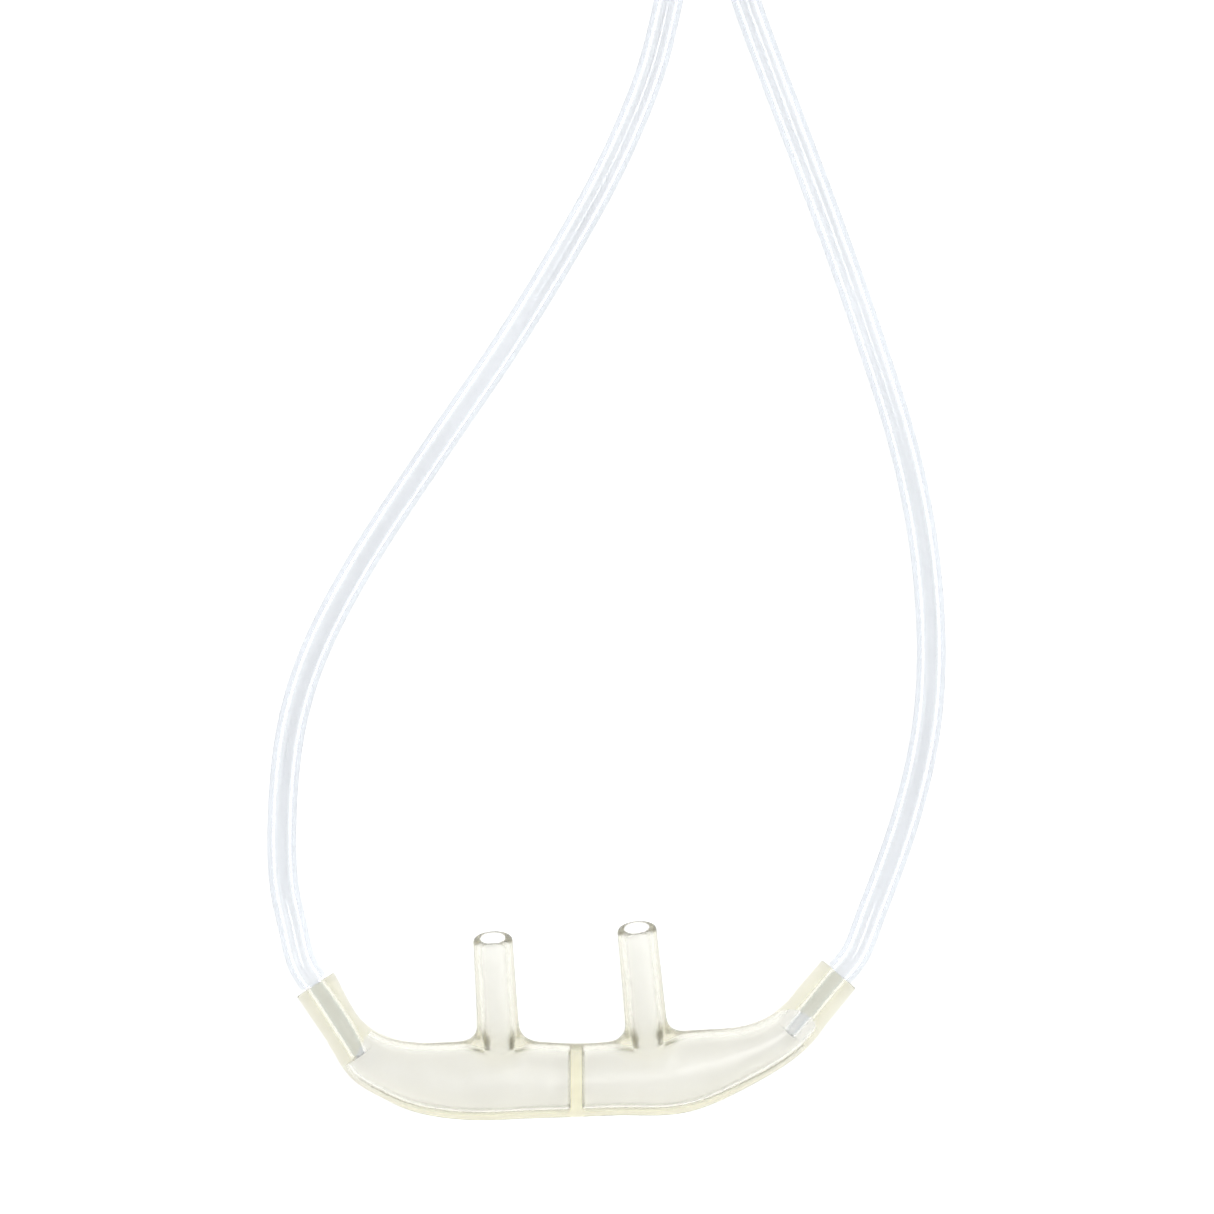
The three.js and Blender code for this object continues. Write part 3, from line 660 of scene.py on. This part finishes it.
@dataclass
class Nosepiece:
    """The soft moulding: a hollow body in two halves, a solid lip, two prongs and two sockets."""

    wall_mm: float = 0.80
    socket_wall_mm: float = 0.74
    lip_mm: float = 0.90
    septum_mm: float = 1.15
    fillet_mm: float = 2.2
    parting_mm: tuple[float, float] = (4.75, 5.55)
    parting_depth_mm: float = 0.07
    parting_width_mm: float = 0.2
    plan_cell_mm: float = 0.1
    cell_mm: float = 0.2
    prongs: tuple[Prong, Prong] = (
        Prong((-7.9, -3.5, 3.2), -3.0, 12.97),
        Prong((7.45, -3.3, 3.2), -5.6, 13.93),
    )

    def edge_curve(self, which: int) -> tuple[Array, Array, Array]:
        """A fine polyline of one edge of the outline.

        Args:
            which: 0 for the upper edge, 1 for the lower edge.

        Returns:
            Points, their left-hand normals, and the station number at each point.
        """
        points = np.array([s[which] for s in OUTLINE])
        first = points[0] + (points[0] - points[1]) / np.linalg.norm(points[0] - points[1]) * 3.0
        last = points[-1] + (points[-1] - points[-2]) / np.linalg.norm(points[-1] - points[-2]) * 3.0
        stations = np.arange(len(points), dtype=float)
        stations = np.concatenate([[0.0], stations, [stations[-1]]])
        every = np.column_stack([np.vstack([first, points, last]), stations * 1e-3])
        curve = spline(every, 0.2)
        tangent = np.gradient(curve[:, :2], axis=0)
        tangent /= np.linalg.norm(tangent, axis=1, keepdims=True)
        normal = np.column_stack([-tangent[:, 1], tangent[:, 0]])
        return curve[:, :2], normal, curve[:, 2] * 1e3

    @cached_property
    def plan_grid(self) -> tuple[Array, Array, Array]:
        """The outline's grid: x, y, and the four values of measure_plan at each crossing."""
        x = np.arange(-31.0, 31.0, self.plan_cell_mm)
        y = np.arange(-12.0, 13.0, self.plan_cell_mm)
        return x, y, np.stack(self.measure_plan(x[:, None], y[None, :]))

    def planform(self, x: Array, y: Array) -> tuple[Array, Array, Array, Array]:
        """The values of measure_plan at points, from the grid by straight interpolation both ways.

        Args:
            x: x of the points.
            y: y of the points.

        Returns:
            Depth inside the upper edge, depth inside the lower edge, half depth, lip cut.
        """
        gx, gy, values = self.plan_grid
        x, y = np.broadcast_arrays(x, y)
        u = np.clip((x - gx[0]) / self.plan_cell_mm, 0.0, len(gx) - 1.001)
        v = np.clip((y - gy[0]) / self.plan_cell_mm, 0.0, len(gy) - 1.001)
        i, j = u.astype(int), v.astype(int)
        a, b = u - i, v - j
        mixed = (
            values[:, i, j] * (1 - a) * (1 - b) + values[:, i + 1, j] * a * (1 - b)
            + values[:, i, j + 1] * (1 - a) * b + values[:, i + 1, j + 1] * a * b
        )
        return mixed[0], mixed[1], mixed[2], mixed[3]

    def measure_plan(self, x: Array, y: Array) -> tuple[Array, Array, Array, Array]:
        """How far points lie inside the two edges, and the half depth and lip cut there.

        The distance to an edge is the offset from its nearest point along the normal there.

        Args:
            x: x of the points.
            y: y of the points.

        Returns:
            Depth inside the upper edge, depth inside the lower edge, half depth, lip cut.
        """
        x, y = np.broadcast_arrays(x, y)
        flat = np.column_stack([x.ravel(), y.ravel()])
        found, station = [], []
        for which, sign in ((0, -1.0), (1, 1.0)):
            points, normal, stations = self.edge_curve(which)
            offset = np.empty(len(flat))
            place = np.empty(len(flat))
            for part in np.array_split(np.arange(len(flat)), max(1, len(flat) // 20000)):
                some = flat[part]
                gap = ((some[:, None, 0] - points[None, :, 0]) ** 2
                       + (some[:, None, 1] - points[None, :, 1]) ** 2)
                best = gap.argmin(1)
                offset[part] = ((some - points[best]) * normal[best]).sum(1)
                place[part] = stations[best]
            found.append((sign * offset).reshape(x.shape))
            station.append(place)
        middle = ((station[0] + station[1]) / 2).reshape(x.shape)
        index = np.arange(len(OUTLINE))
        half = np.interp(middle, index, [s[2] for s in OUTLINE])
        cut = np.interp(middle, index, [s[3] for s in OUTLINE])
        return found[0], found[1], half, cut

    @staticmethod
    def oval(upper: Array, lower: Array, half: Array, cut: Array, level: Array, z: Array) -> Array:
        """Distance to a body with an oval section that is cut flat at its lower edge.

        With c the cut, the oval's half height is (upper + lower) / (2 - 2c). For the scaled
        offsets n and m the field is k (k - 1) / g, where k is the length of (n, m) and g is the
        length of (n over half height, m over half depth).
        """
        tall = np.maximum((upper + lower) / (2 - 2 * cut), 0.4)
        n = (tall - upper) / tall
        m = (z - level) / half
        k = np.sqrt(n * n + m * m)
        g = np.sqrt((n / tall) ** 2 + (m / half) ** 2)
        return k * (k - 1) / np.maximum(g, 1e-4)

    def value(self, x: Array, y: Array, z: Array) -> Array:
        """Distance to the whole moulding.

        The body's oval bar is blended with the prongs and cut flat below. The hollow is the same
        oval a wall further in, split by the septum and joined to the prongs' bores. Each parting
        line is a groove whose depth falls off as a bell curve along the socket.

        Args:
            x: x of the points.
            y: y of the points.
            z: z of the points.

        Returns:
            The distance, negative in the material.
        """
        upper, lower, half, cut = self.planform(x, y)
        level = half - BACK_FLAT
        body = self.oval(upper, lower, half, cut, level, z)
        body = smooth_max(body, -lower, 0.12)
        for prong in self.prongs:
            body = smooth_min(body, prong.outside(x, y, z), self.fillet_mm)
        body = smooth_max(body, -z, 0.1)

        socket = np.clip(half - SOCKET_RADIUS, 0.0, 0.9) / 0.9
        wall = self.socket_wall_mm + (self.wall_mm - self.socket_wall_mm) * socket
        lip = self.socket_wall_mm + (self.lip_mm - self.socket_wall_mm) * socket
        hollow = self.oval(upper - wall, lower - lip, half - wall, cut, level, z)
        hollow = smooth_max(hollow, lip - lower, 0.35)
        hollow = smooth_max(hollow, self.septum_mm / 2 - np.abs(x), 0.3)
        for prong in self.prongs:
            hollow = smooth_min(hollow, prong.bore(x, y, z), 0.3)
        solid = np.maximum(body, -hollow)
        for side in Side:
            mouth, out = socket_mouth(side)
            beyond = (x - mouth[0]) * out[0] + (y - mouth[1]) * out[1]
            near = (np.abs(x - mouth[0]) < 8.0) & (side.value * x > 0)
            for place in self.parting_mm:
                line = self.parting_depth_mm * np.exp(-((beyond + place) / self.parting_width_mm) ** 2)
                solid = np.where(near, np.maximum(solid, body + line), solid)
            solid = np.where(near, smooth_max(solid, beyond, 0.06), solid)
        return solid

    def build(self) -> bpy.types.Object:
        """Meshes the moulding and puts it in place of its CAD node."""
        low, high = np.array([-29.6, -11.0, -0.6]), np.array([29.6, 11.2, 10.8])
        vertices, faces = isosurface(self.value, low, high, self.cell_mm)
        obj = put_mesh("nosepiece_moulding", vertices, faces)
        obj.data.materials.append(SOFT_VINYL.material())
        centres = vertices[faces].mean(1)
        welded = np.zeros(len(faces), bool)
        for side, depth in SOCKET_INSERTION.items():
            mouth, out = socket_mouth(side)
            welded |= in_bore(centres, mouth, -out, depth, TUBE.radius + TUBE.weld_reach_mm)
        weld_faces(obj, welded)
        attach(obj, Body.CANNULA.value)
        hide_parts("nosepiece")
        return obj


# Slider, Y junction and luer connector


@dataclass(frozen=True)
class Slider:
    """The soft sleeve that rides on both arms."""

    length_mm: float = 10.0
    bore_mm: float = 3.2
    wall_mm: float = 0.9
    clearance_mm: float = 0.3
    arm_spacing_mm: float = 4.4
    start_y_mm: float = 115.0
    centre_x_mm: float = 13.4
    edge_mm: float = 0.35
    cell_mm: float = 0.14

    @property
    def axis_z(self) -> float:
        """Height of the two bores."""
        return TUBE.radius + self.clearance_mm + self.wall_mm

    def value(self, x: Array, y: Array, z: Array) -> Array:
        """Distance to an oval bar with round edges, less its two bores."""
        half = self.arm_spacing_mm / 2
        across = np.maximum(np.abs(x - self.centre_x_mm) - half, 0.0)
        out_r = np.hypot(across, z - self.axis_z) - self.axis_z + self.edge_mm
        middle = self.start_y_mm + self.length_mm / 2
        out_y = np.abs(y - middle) - self.length_mm / 2 + self.edge_mm
        inside = np.minimum(np.maximum(out_r, out_y), 0.0)
        solid = inside + np.hypot(np.maximum(out_r, 0.0), np.maximum(out_y, 0.0)) - self.edge_mm
        bore = np.hypot(np.abs(x - self.centre_x_mm) - half, z - self.axis_z) - self.bore_mm / 2
        return smooth_max(solid, -bore, 0.15)

    def build(self) -> bpy.types.Object:
        """Meshes the sleeve and puts it in place of its CAD node."""
        reach = self.arm_spacing_mm / 2 + self.axis_z + 0.5
        low = np.array([self.centre_x_mm - reach, self.start_y_mm - 0.5, -0.5])
        high = np.array([
            self.centre_x_mm + reach, self.start_y_mm + self.length_mm + 0.5, 2 * self.axis_z + 0.5])
        vertices, faces = isosurface(self.value, low, high, self.cell_mm)
        obj = put_mesh("slider_sleeve", vertices, faces)
        obj.data.materials.append(SOFT_VINYL.material())
        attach(obj, Body.SLIDER.value)
        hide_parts("slider")
        return obj


@dataclass(frozen=True)
class Junction:
    """The small moulding where the two arms run into one line."""

    start_y_mm: float = 192.0
    port_offset_mm: float = 3.6
    radius_mm: float = 2.4
    port_length_mm: float = 10.0
    stem_length_mm: float = 6.0
    insertion_mm: float = 4.0
    bore_mm: float = 3.16
    passage_mm: float = 1.6
    centre_x_mm: float = 20.6
    cell_mm: float = 0.14

    @property
    def meeting(self) -> Array:
        """Where the three axes meet."""
        return np.array([self.centre_x_mm, self.start_y_mm + self.port_length_mm, self.radius_mm])

    @property
    def stem_end(self) -> Array:
        """The middle of the stem's end."""
        return self.meeting + np.array([0.0, self.stem_length_mm, 0.0])

    def port(self, side: Side) -> tuple[Array, Array]:
        """The middle of a port's end, and the unit vector into it."""
        x = self.centre_x_mm + side.value * self.port_offset_mm
        mouth = np.array([x, self.start_y_mm, self.radius_mm])
        inward = self.meeting - mouth
        return mouth, inward / np.linalg.norm(inward)

    def value(self, x: Array, y: Array, z: Array) -> Array:
        """Distance to three bars that blend where they meet, less their bores.

        Args:
            x: x of the points.
            y: y of the points.
            z: z of the points.

        Returns:
            The distance, negative in the material.
        """
        up = np.array([0.0, 1.0, 0.0])
        stem = self.meeting - up
        solid = rod_field(x, y, z, stem, up, self.stem_length_mm + 1.0, self.radius_mm, 0.3)
        bore = rod_field(x, y, z, self.stem_end - self.insertion_mm * up, up, 20.0, self.bore_mm / 2)
        passage = rod_field(x, y, z, self.meeting, up, 20.0, self.passage_mm / 2)
        for side in Side:
            mouth, inward = self.port(side)
            length = float(np.linalg.norm(self.meeting - mouth))
            arm = rod_field(x, y, z, mouth, inward, length + 1.0, self.radius_mm, 0.3)
            solid = smooth_min(solid, arm, 1.2)
            bore = np.minimum(bore, rod_field(
                x, y, z, mouth - 5.0 * inward, inward, self.insertion_mm + 5.0, self.bore_mm / 2))
            passage = smooth_min(passage, rod_field(
                x, y, z, mouth, inward, length, self.passage_mm / 2), 0.3)
        solid = smooth_max(solid, -z, 0.1)
        return smooth_max(solid, -np.minimum(bore, passage), 0.1)

    def build(self) -> bpy.types.Object:
        """Meshes the junction and puts it in place of its CAD node."""
        low = np.array([self.centre_x_mm - 7.5, self.start_y_mm - 1.5, -0.5])
        high = np.array([self.centre_x_mm + 7.5, self.stem_end[1] + 0.6, 2 * self.radius_mm + 0.5])
        vertices, faces = isosurface(self.value, low, high, self.cell_mm)
        obj = put_mesh("y_junction_moulding", vertices, faces)
        obj.data.materials.append(RIGID_CLEAR.material())
        centres = vertices[faces].mean(1)
        ends = [self.port(side) for side in Side] + [(self.stem_end, np.array([0.0, -1.0, 0.0]))]
        reach = TUBE.radius + TUBE.weld_reach_mm
        welded = [in_bore(centres, mouth, inward, self.insertion_mm, reach) for mouth, inward in ends]
        weld_faces(obj, np.any(welded, axis=0))
        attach(obj, Body.CANNULA.value)
        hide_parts("y_junction")
        return obj


@dataclass(frozen=True)
class LuerConnector:
    """The connector at the far end: a tapered tip in a threaded collar, and a ribbed shank."""

    back_mm: tuple[float, float, float]
    length_mm: float = 24.0
    collar_radius_mm: float = 4.4
    collar_bore_mm: float = 3.7
    collar_length_mm: float = 8.5
    tip_radius_mm: float = 2.0
    tip_length_mm: float = 10.0
    shank_radius_mm: float = 2.8
    insertion_mm: float = 7.0
    bore_mm: float = 3.16
    passage_mm: float = 2.0
    thread_mm: float = 0.35
    thread_lead_mm: float = 5.0
    cell_mm: float = 0.15

    def value(self, x: Array, y: Array, z: Array) -> Array:
        """Distance to the connector.

        With h along the axis, r from it and t round it: the collar is a bar less a wider bore
        whose radius falls by the thread's height where cos(2 (t - pi h / lead)) is near 1.

        Args:
            x: x of the points.
            y: y of the points.
            z: z of the points.

        Returns:
            The distance, negative in the material.
        """
        back = np.array(self.back_mm)
        away = np.array([0.0, -1.0, 0.0])
        h = back[1] - y
        r = np.hypot(x - back[0], z - back[2])
        turn = np.arctan2(z - back[2], x - back[0])
        front = self.length_mm - (self.tip_length_mm - self.collar_length_mm)
        collar_back = front - self.collar_length_mm
        shank = rod_field(x, y, z, back, away, collar_back + 1.0, self.shank_radius_mm, 0.4)
        ribs = (self.shank_radius_mm + 0.75) - 0.45 * np.abs(np.sin(4 * turn))
        grip = rod_field(x, y, z, back + 1.0 * away, away, collar_back - 2.6, ribs, 0.35)
        shank = smooth_min(shank, grip, 0.5)
        collar = rod_field(x, y, z, back + (collar_back - 1.2) * away, away,
                           self.collar_length_mm + 1.2, self.collar_radius_mm, 0.45)
        around = turn - np.pi * h / self.thread_lead_mm
        ridge = np.clip(np.cos(2 * around) - 0.35, 0.0, 0.4) / 0.4
        bore = np.maximum(r - self.collar_bore_mm + self.thread_mm * ridge, collar_back + 1.0 - h)
        solid = smooth_max(smooth_min(shank, collar, 0.6), -bore, 0.15)
        taper = self.tip_radius_mm + 0.03 * (self.length_mm - h)
        tip = rod_field(x, y, z, back + collar_back * away, away, self.length_mm - collar_back, taper, 0.2)
        solid = smooth_min(solid, tip, 0.3)
        socket = rod_field(x, y, z, back - 5.0 * away, away, self.insertion_mm + 5.0, self.bore_mm / 2)
        hole = rod_field(x, y, z, back, away, self.length_mm + 5.0, self.passage_mm / 2)
        return smooth_max(solid, -np.minimum(socket, hole), 0.12)

    def build(self) -> bpy.types.Object:
        """Meshes the connector and puts it in place of its CAD node."""
        back = np.array(self.back_mm)
        low = back + [-5.0, -self.length_mm - 0.6, -self.collar_radius_mm - 0.5]
        high = back + [5.0, 0.6, self.collar_radius_mm + 0.5]
        vertices, faces = isosurface(self.value, low, high, self.cell_mm)
        obj = put_mesh("luer_connector_moulding", vertices, faces)
        obj.data.materials.append(RIGID_CLEAR.material())
        centres = vertices[faces].mean(1)
        forward, reach = np.array([0.0, -1.0, 0.0]), TUBE.radius + TUBE.weld_reach_mm
        weld_faces(obj, in_bore(centres, back, forward, self.insertion_mm, reach))
        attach(obj, Body.CANNULA.value)
        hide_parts("luer_connector")
        return obj


# Cords


@dataclass(frozen=True)
class Layout:
    """Where the coils and the pieces on the cords lie, as in the CAD."""

    twin_x_mm: float = 13.4
    slider_start_mm: float = 115.0
    slider_travel_mm: float = 8.0
    arm_coil_radius_mm: float = 17.0
    arm_coil_turns: int = 2
    arm_coil_y_mm: float = 155.5
    line_coil_radius_mm: float = 16.0
    line_coil_layers: int = 4
    line_turns_across: int = 3
    line_last_share: float = 0.25
    line_coil_x_mm: float = -7.8
    line_coil_y_mm: float = 202.4
    luer_back_mm: tuple[float, float, float] = (-26.9, 163.0, 4.4)

    @property
    def entry_radius(self) -> float:
        """Radius of the turn by which the sample line goes into its coil."""
        return self.line_coil_radius_mm + self.line_turns_across * TUBE.turn_spacing_mm / 2


LAYOUT = Layout()
SLIDER = Slider()
JUNCTION = Junction()


def coil_approach(turn_radius: float, outer_radius: float, gap: float = 0.3) -> float:
    """How far short of a coil's middle a straight run along its outermost turn meets the coil."""
    return math.sqrt((outer_radius + gap) ** 2 - (turn_radius - TUBE.radius) ** 2)


@dataclass
class Cord:
    """A free length of tube: its route, what it replaces and what is on its far end."""

    name: str
    route_mm: Array
    nodes: list[str]
    far_end: str
    exit_mm: Array
    with_pieces: list[str] = field(default_factory=list)
    welded_mm: tuple[float, float] = (0.0, 0.0)
    step_mm: float = 0.9
    sides: int = 40

    def build(self) -> tuple[bpy.types.Object, float]:
        """Meshes the tube along its route.

        Returns:
            The object and its length in metres.
        """
        path = spline(self.route_mm, self.step_mm)
        obj = tube_mesh(self.name, path, TUBE.radius, TUBE.bore_mm / 2, self.sides)
        obj.data.materials.append(TUBE_VINYL.material())
        spans = len(path) - 1
        first, last = (round(depth / self.step_mm) for depth in self.welded_mm)
        row = np.repeat(np.arange(spans), self.sides)
        welded = np.zeros(len(obj.data.polygons), bool)
        welded[:len(row)] = (row < first) | (row >= spans - last)
        weld_faces(obj, welded)
        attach(obj, Body.CANNULA.value)
        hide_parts(*self.nodes)
        length = float(np.linalg.norm(np.diff(path, axis=0), axis=1).sum()) * MM
        return obj, length


class ArmRoutes:
    """The routes of the two arms, from inside the sockets to inside the junction's ports."""

    loop = {
        Side.LEFT: [
            (-29.2, 9.1, 1.7), (-30.0, 12.6, 1.5), (-30.4, 18.4, 1.5), (-30.15, 24.6, 1.5),
            (-29.25, 30.8, 1.5), (-27.35, 37.0, 1.5), (-24.45, 43.1, 1.5), (-20.8, 49.3, 1.5),
            (-16.7, 55.5, 1.5), (-12.5, 61.7, 1.5), (-8.25, 67.9, 1.5), (-4.3, 74.1, 1.5),
            (-0.6, 80.3, 1.5), (2.8, 86.4, 1.5), (5.7, 92.6, 1.5), (8.0, 98.8, 1.5),
            (9.5, 105.0, 1.5), (10.6, 110.3, 2.1),
        ],
        Side.RIGHT: [
            (30.0, 9.7, 1.7), (31.5, 13.6, 1.5), (33.25, 18.4, 1.5), (35.05, 24.6, 1.5),
            (36.2, 30.8, 1.5), (36.6, 37.0, 1.5), (36.4, 43.1, 1.5), (35.75, 49.3, 1.5),
            (34.6, 55.5, 1.5), (33.0, 61.7, 1.5), (31.0, 67.9, 1.5), (28.9, 74.1, 1.5),
            (26.7, 80.3, 1.5), (24.45, 86.4, 1.5), (22.1, 92.6, 1.5), (19.75, 98.8, 1.5),
            (17.5, 105.0, 1.5), (16.05, 110.3, 2.1),
        ],
    }
    slope = {
        Side.LEFT: [
            (13.35, 160.8, 17.85), (13.3, 166.14, 16.4), (13.5, 171.0, 13.6), (13.8, 176.0, 9.8),
            (14.3, 181.0, 6.1), (15.0, 185.5, 3.6),
        ],
        Side.RIGHT: [
            (13.8, 160.8, 14.6), (15.2, 166.14, 12.9), (17.8, 171.0, 10.3), (21.0, 176.0, 7.4),
            (23.9, 181.0, 4.8), (25.4, 185.5, 3.1),
        ],
    }

    @classmethod
    def coil(cls, side: Side) -> Array:
        """The arm's turns: a helix of two spacings a turn, the left arm one spacing above the right.

        Args:
            side: which arm.

        Returns:
            Sixteen points a turn, after the straight run into the coil.
        """
        spacing, radius = TUBE.turn_spacing_mm, LAYOUT.arm_coil_radius_mm
        floor = TUBE.radius + (spacing if side is Side.LEFT else 0.0)
        turns = np.linspace(0.0, LAYOUT.arm_coil_turns, 16 * LAYOUT.arm_coil_turns + 1)
        angle = 2 * np.pi * turns
        centre = LAYOUT.twin_x_mm - radius
        ring = np.column_stack([
            centre + radius * np.cos(angle), LAYOUT.arm_coil_y_mm + radius * np.sin(angle),
            floor + 2 * spacing * turns])
        reach = coil_approach(radius, radius + TUBE.radius)
        lead = np.array([[LAYOUT.twin_x_mm, LAYOUT.arm_coil_y_mm - reach, floor],
                         [LAYOUT.twin_x_mm, LAYOUT.arm_coil_y_mm - reach / 2, floor]])
        return np.vstack([lead, ring])

    @classmethod
    def route(cls, side: Side) -> Array:
        """The whole route of one arm, as in the CAD.

        One more point, two millimetres before the end of the straight stretch, keeps the smooth
        curve inside the slider's bore.

        Args:
            side: which arm.

        Returns:
            (n, 3) points in millimetres.
        """
        mouth, out = socket_mouth(side)
        s, inserted, raised = side.value, SOCKET_INSERTION[side], SLIDER.axis_z
        floor = TUBE.radius + (TUBE.turn_spacing_mm if side is Side.LEFT else 0.0)
        straight = LAYOUT.slider_start_mm + SLIDER.length_mm + LAYOUT.slider_travel_mm + 1.0
        twin = LAYOUT.twin_x_mm + s * SLIDER.arm_spacing_mm / 2
        port, inward = JUNCTION.port(side)
        points = [mouth - inserted * out, mouth - inserted / 2 * out, mouth, mouth + 2.2 * out]
        points += cls.loop[side]
        points += [
            (twin, LAYOUT.slider_start_mm, raised), (twin, straight - 9.0, raised),
            (twin, straight - 2.0, raised), (twin, straight, raised),
            (LAYOUT.twin_x_mm + s * 1.75, straight + 3.0, raised + 0.15 - s * 0.95),
            (LAYOUT.twin_x_mm + s * 1.0, straight + 6.0, raised + 0.4 - s * 1.55),
            (LAYOUT.twin_x_mm + s * 0.15, straight + 9.0, floor),
        ]
        points += cls.coil(side).tolist()
        points += cls.slope[side]
        points += [port - 3.0 * inward, port, port + JUNCTION.insertion_mm * inward]
        return np.array([tuple(p) for p in points], float)


class LineRoute:
    """The route of the sample line, from inside the stem to inside the luer connector."""

    @staticmethod
    def coil() -> Array:
        """The line's turns, worked out by their place in the coil's section.

        A layer is crossed at one spacing a turn. A turn that changes layer follows half a circle
        of one spacing across, at the inner or the outer side in turn, so that no two turns come
        nearer than a spacing. The last layer ends half a turn on, at the outer side.

        Returns:
            Sixteen points a turn.
        """
        spacing, layers, across = TUBE.turn_spacing_mm, LAYOUT.line_coil_layers, LAYOUT.line_turns_across
        total = layers * (across + 1) - 1 + LAYOUT.line_last_share
        turns = np.linspace(0.0, total, round(16 * total) + 1)
        layer = np.minimum(np.floor(turns / (across + 1)), layers - 1)
        inside = turns - layer * (across + 1)
        inward = np.where(layer % 2 == 0, 1.0, -1.0)
        last = layer == layers - 1
        crossing = np.where(last, inside, np.minimum(inside, across))
        bulge = np.pi * np.where(last, 0.0, np.clip(inside - across, 0.0, 1.0))
        from_middle = inward * (across / 2 - crossing) * spacing
        radius = LAYOUT.line_coil_radius_mm + from_middle - inward * spacing / 2 * np.sin(bulge)
        height = TUBE.radius + layer * spacing + spacing / 2 * (1 - np.cos(bulge))
        angle = np.pi / 2 + 2 * np.pi * turns
        return np.column_stack([
            LAYOUT.line_coil_x_mm + radius * np.cos(angle),
            LAYOUT.line_coil_y_mm + radius * np.sin(angle), height])

    @classmethod
    def route(cls) -> Array:
        """The whole route of the sample line, as in the CAD.

        Returns:
            (n, 3) points in millimetres.
        """
        stem, floor, up = JUNCTION.stem_end, TUBE.radius, np.array([0.0, 1.0, 0.0])
        back = np.array(LAYOUT.luer_back_mm)
        points = [
            stem - JUNCTION.insertion_mm * up, stem, (20.0, 212.5, 1.9), (16.2, 218.5, floor),
            (7.2, 223.4, floor), (0.6, 224.2, floor), (-3.6, 223.8, floor),
        ]
        points += cls.coil().tolist()
        points += [
            (-29.57, 195.5, 11.35), (-29.55, 188.8, 10.8), (-29.4, 183.0, 9.5), (-28.7, 176.5, 7.3),
            (-27.6, 170.0, 5.2), back, back - 7.0 * up,
        ]
        return np.array([tuple(p) for p in points], float)


# Studio


@dataclass(frozen=True)
class Studio:
    """A white table under a pale dome that is a little darker on the right, and a long soft lamp."""

    floor_half_m: float = 1.5
    dome: str = "#f6f8fb"
    dome_left: float = 0.75
    dome_right: float = 0.55
    lamp_place: tuple[float, float, float] = (0.14, 0.34, 0.95)
    lamp_size: tuple[float, float] = (0.10, 0.60)
    lamp_power: float = 2.2

    def add(self) -> None:
        """Adds the table, the dome and the lamp."""
        h = self.floor_half_m
        corners = np.array([(-h, -h), (h, -h), (h, h), (-h, h)]) / MM
        vertices = np.column_stack([corners, np.full(4, -0.05)])
        table = put_mesh("table", vertices, np.array([[0, 1, 2, 3]]))
        table.data.materials.append(Backdrop().material())
        self.add_dome()
        data = bpy.data.lights.new("long_lamp", "AREA")
        data.shape, data.energy = "RECTANGLE", self.lamp_power
        data.size, data.size_y = self.lamp_size
        lamp = bpy.data.objects.new("long_lamp", data)
        lamp.location = self.lamp_place
        lamp.rotation_euler = Vector(self.lamp_place).to_track_quat("Z", "Y").to_euler()
        bpy.context.scene.collection.objects.link(lamp)

    def add_dome(self) -> None:
        """Adds the dome: its strength runs evenly from the left to the right."""
        world = bpy.data.worlds.new("dome")
        world.use_nodes = True
        tree = world.node_tree
        tree.nodes.clear()
        way = add_node(tree, "ShaderNodeTexCoord")
        parts = add_node(tree, "ShaderNodeSeparateXYZ", {"Vector": way.outputs["Generated"]})
        strength = add_node(
            tree, "ShaderNodeMapRange", {"Value": parts.outputs["X"]},
            From_Min=-0.8, From_Max=0.8, To_Min=self.dome_left, To_Max=self.dome_right,
        )
        light = add_node(
            tree, "ShaderNodeBackground", {"Strength": strength.outputs["Result"]}, Color=linear(self.dome))
        add_node(tree, "ShaderNodeOutputWorld", {"Surface": light.outputs["Background"]})
        bpy.context.scene.world = world


def main() -> None:
    """Builds the camera, the cords, the mouldings and the studio, and reports each piece."""
    logging.basicConfig(level=logging.INFO, format="%(message)s")
    bpy.context.scene.view_settings.view_transform = "Standard"
    PhotoView().add()

    left_mouth, _ = socket_mouth(Side.LEFT)
    right_mouth, _ = socket_mouth(Side.RIGHT)
    connector = LuerConnector(LAYOUT.luer_back_mm)
    junction, luer, slider = JUNCTION.build(), connector.build(), SLIDER.build()
    in_junction = JUNCTION.insertion_mm
    cords = [
        Cord("left_arm_tube", ArmRoutes.route(Side.LEFT), ["left_arm", "left_arm_end", "arm_coil"],
             "fitting", left_mouth, [junction.name, slider.name],
             (SOCKET_INSERTION[Side.LEFT], in_junction)),
        Cord("right_arm_tube", ArmRoutes.route(Side.RIGHT), ["right_arm", "right_arm_end", "arm_coil"],
             "fitting", right_mouth, [junction.name, slider.name],
             (SOCKET_INSERTION[Side.RIGHT], in_junction)),
        Cord("sample_line_tube", LineRoute.route(), ["sample_line", "sample_line_coil", "sample_line_end"],
             "connector", JUNCTION.stem_end, [luer.name],
             (in_junction, connector.insertion_mm), step_mm=1.7, sides=24),
    ]
    for cord in cords:
        obj, length = cord.build()
        LOG.info("%s: %.3f m long, %d faces", obj.name, length, len(obj.data.polygons))
    nosepiece = Nosepiece().build()
    for obj in (nosepiece, slider, junction, luer):
        LOG.info("%s: %d faces", obj.name, len(obj.data.polygons))
    Studio().add()


if __name__ == "__main__":
    main()
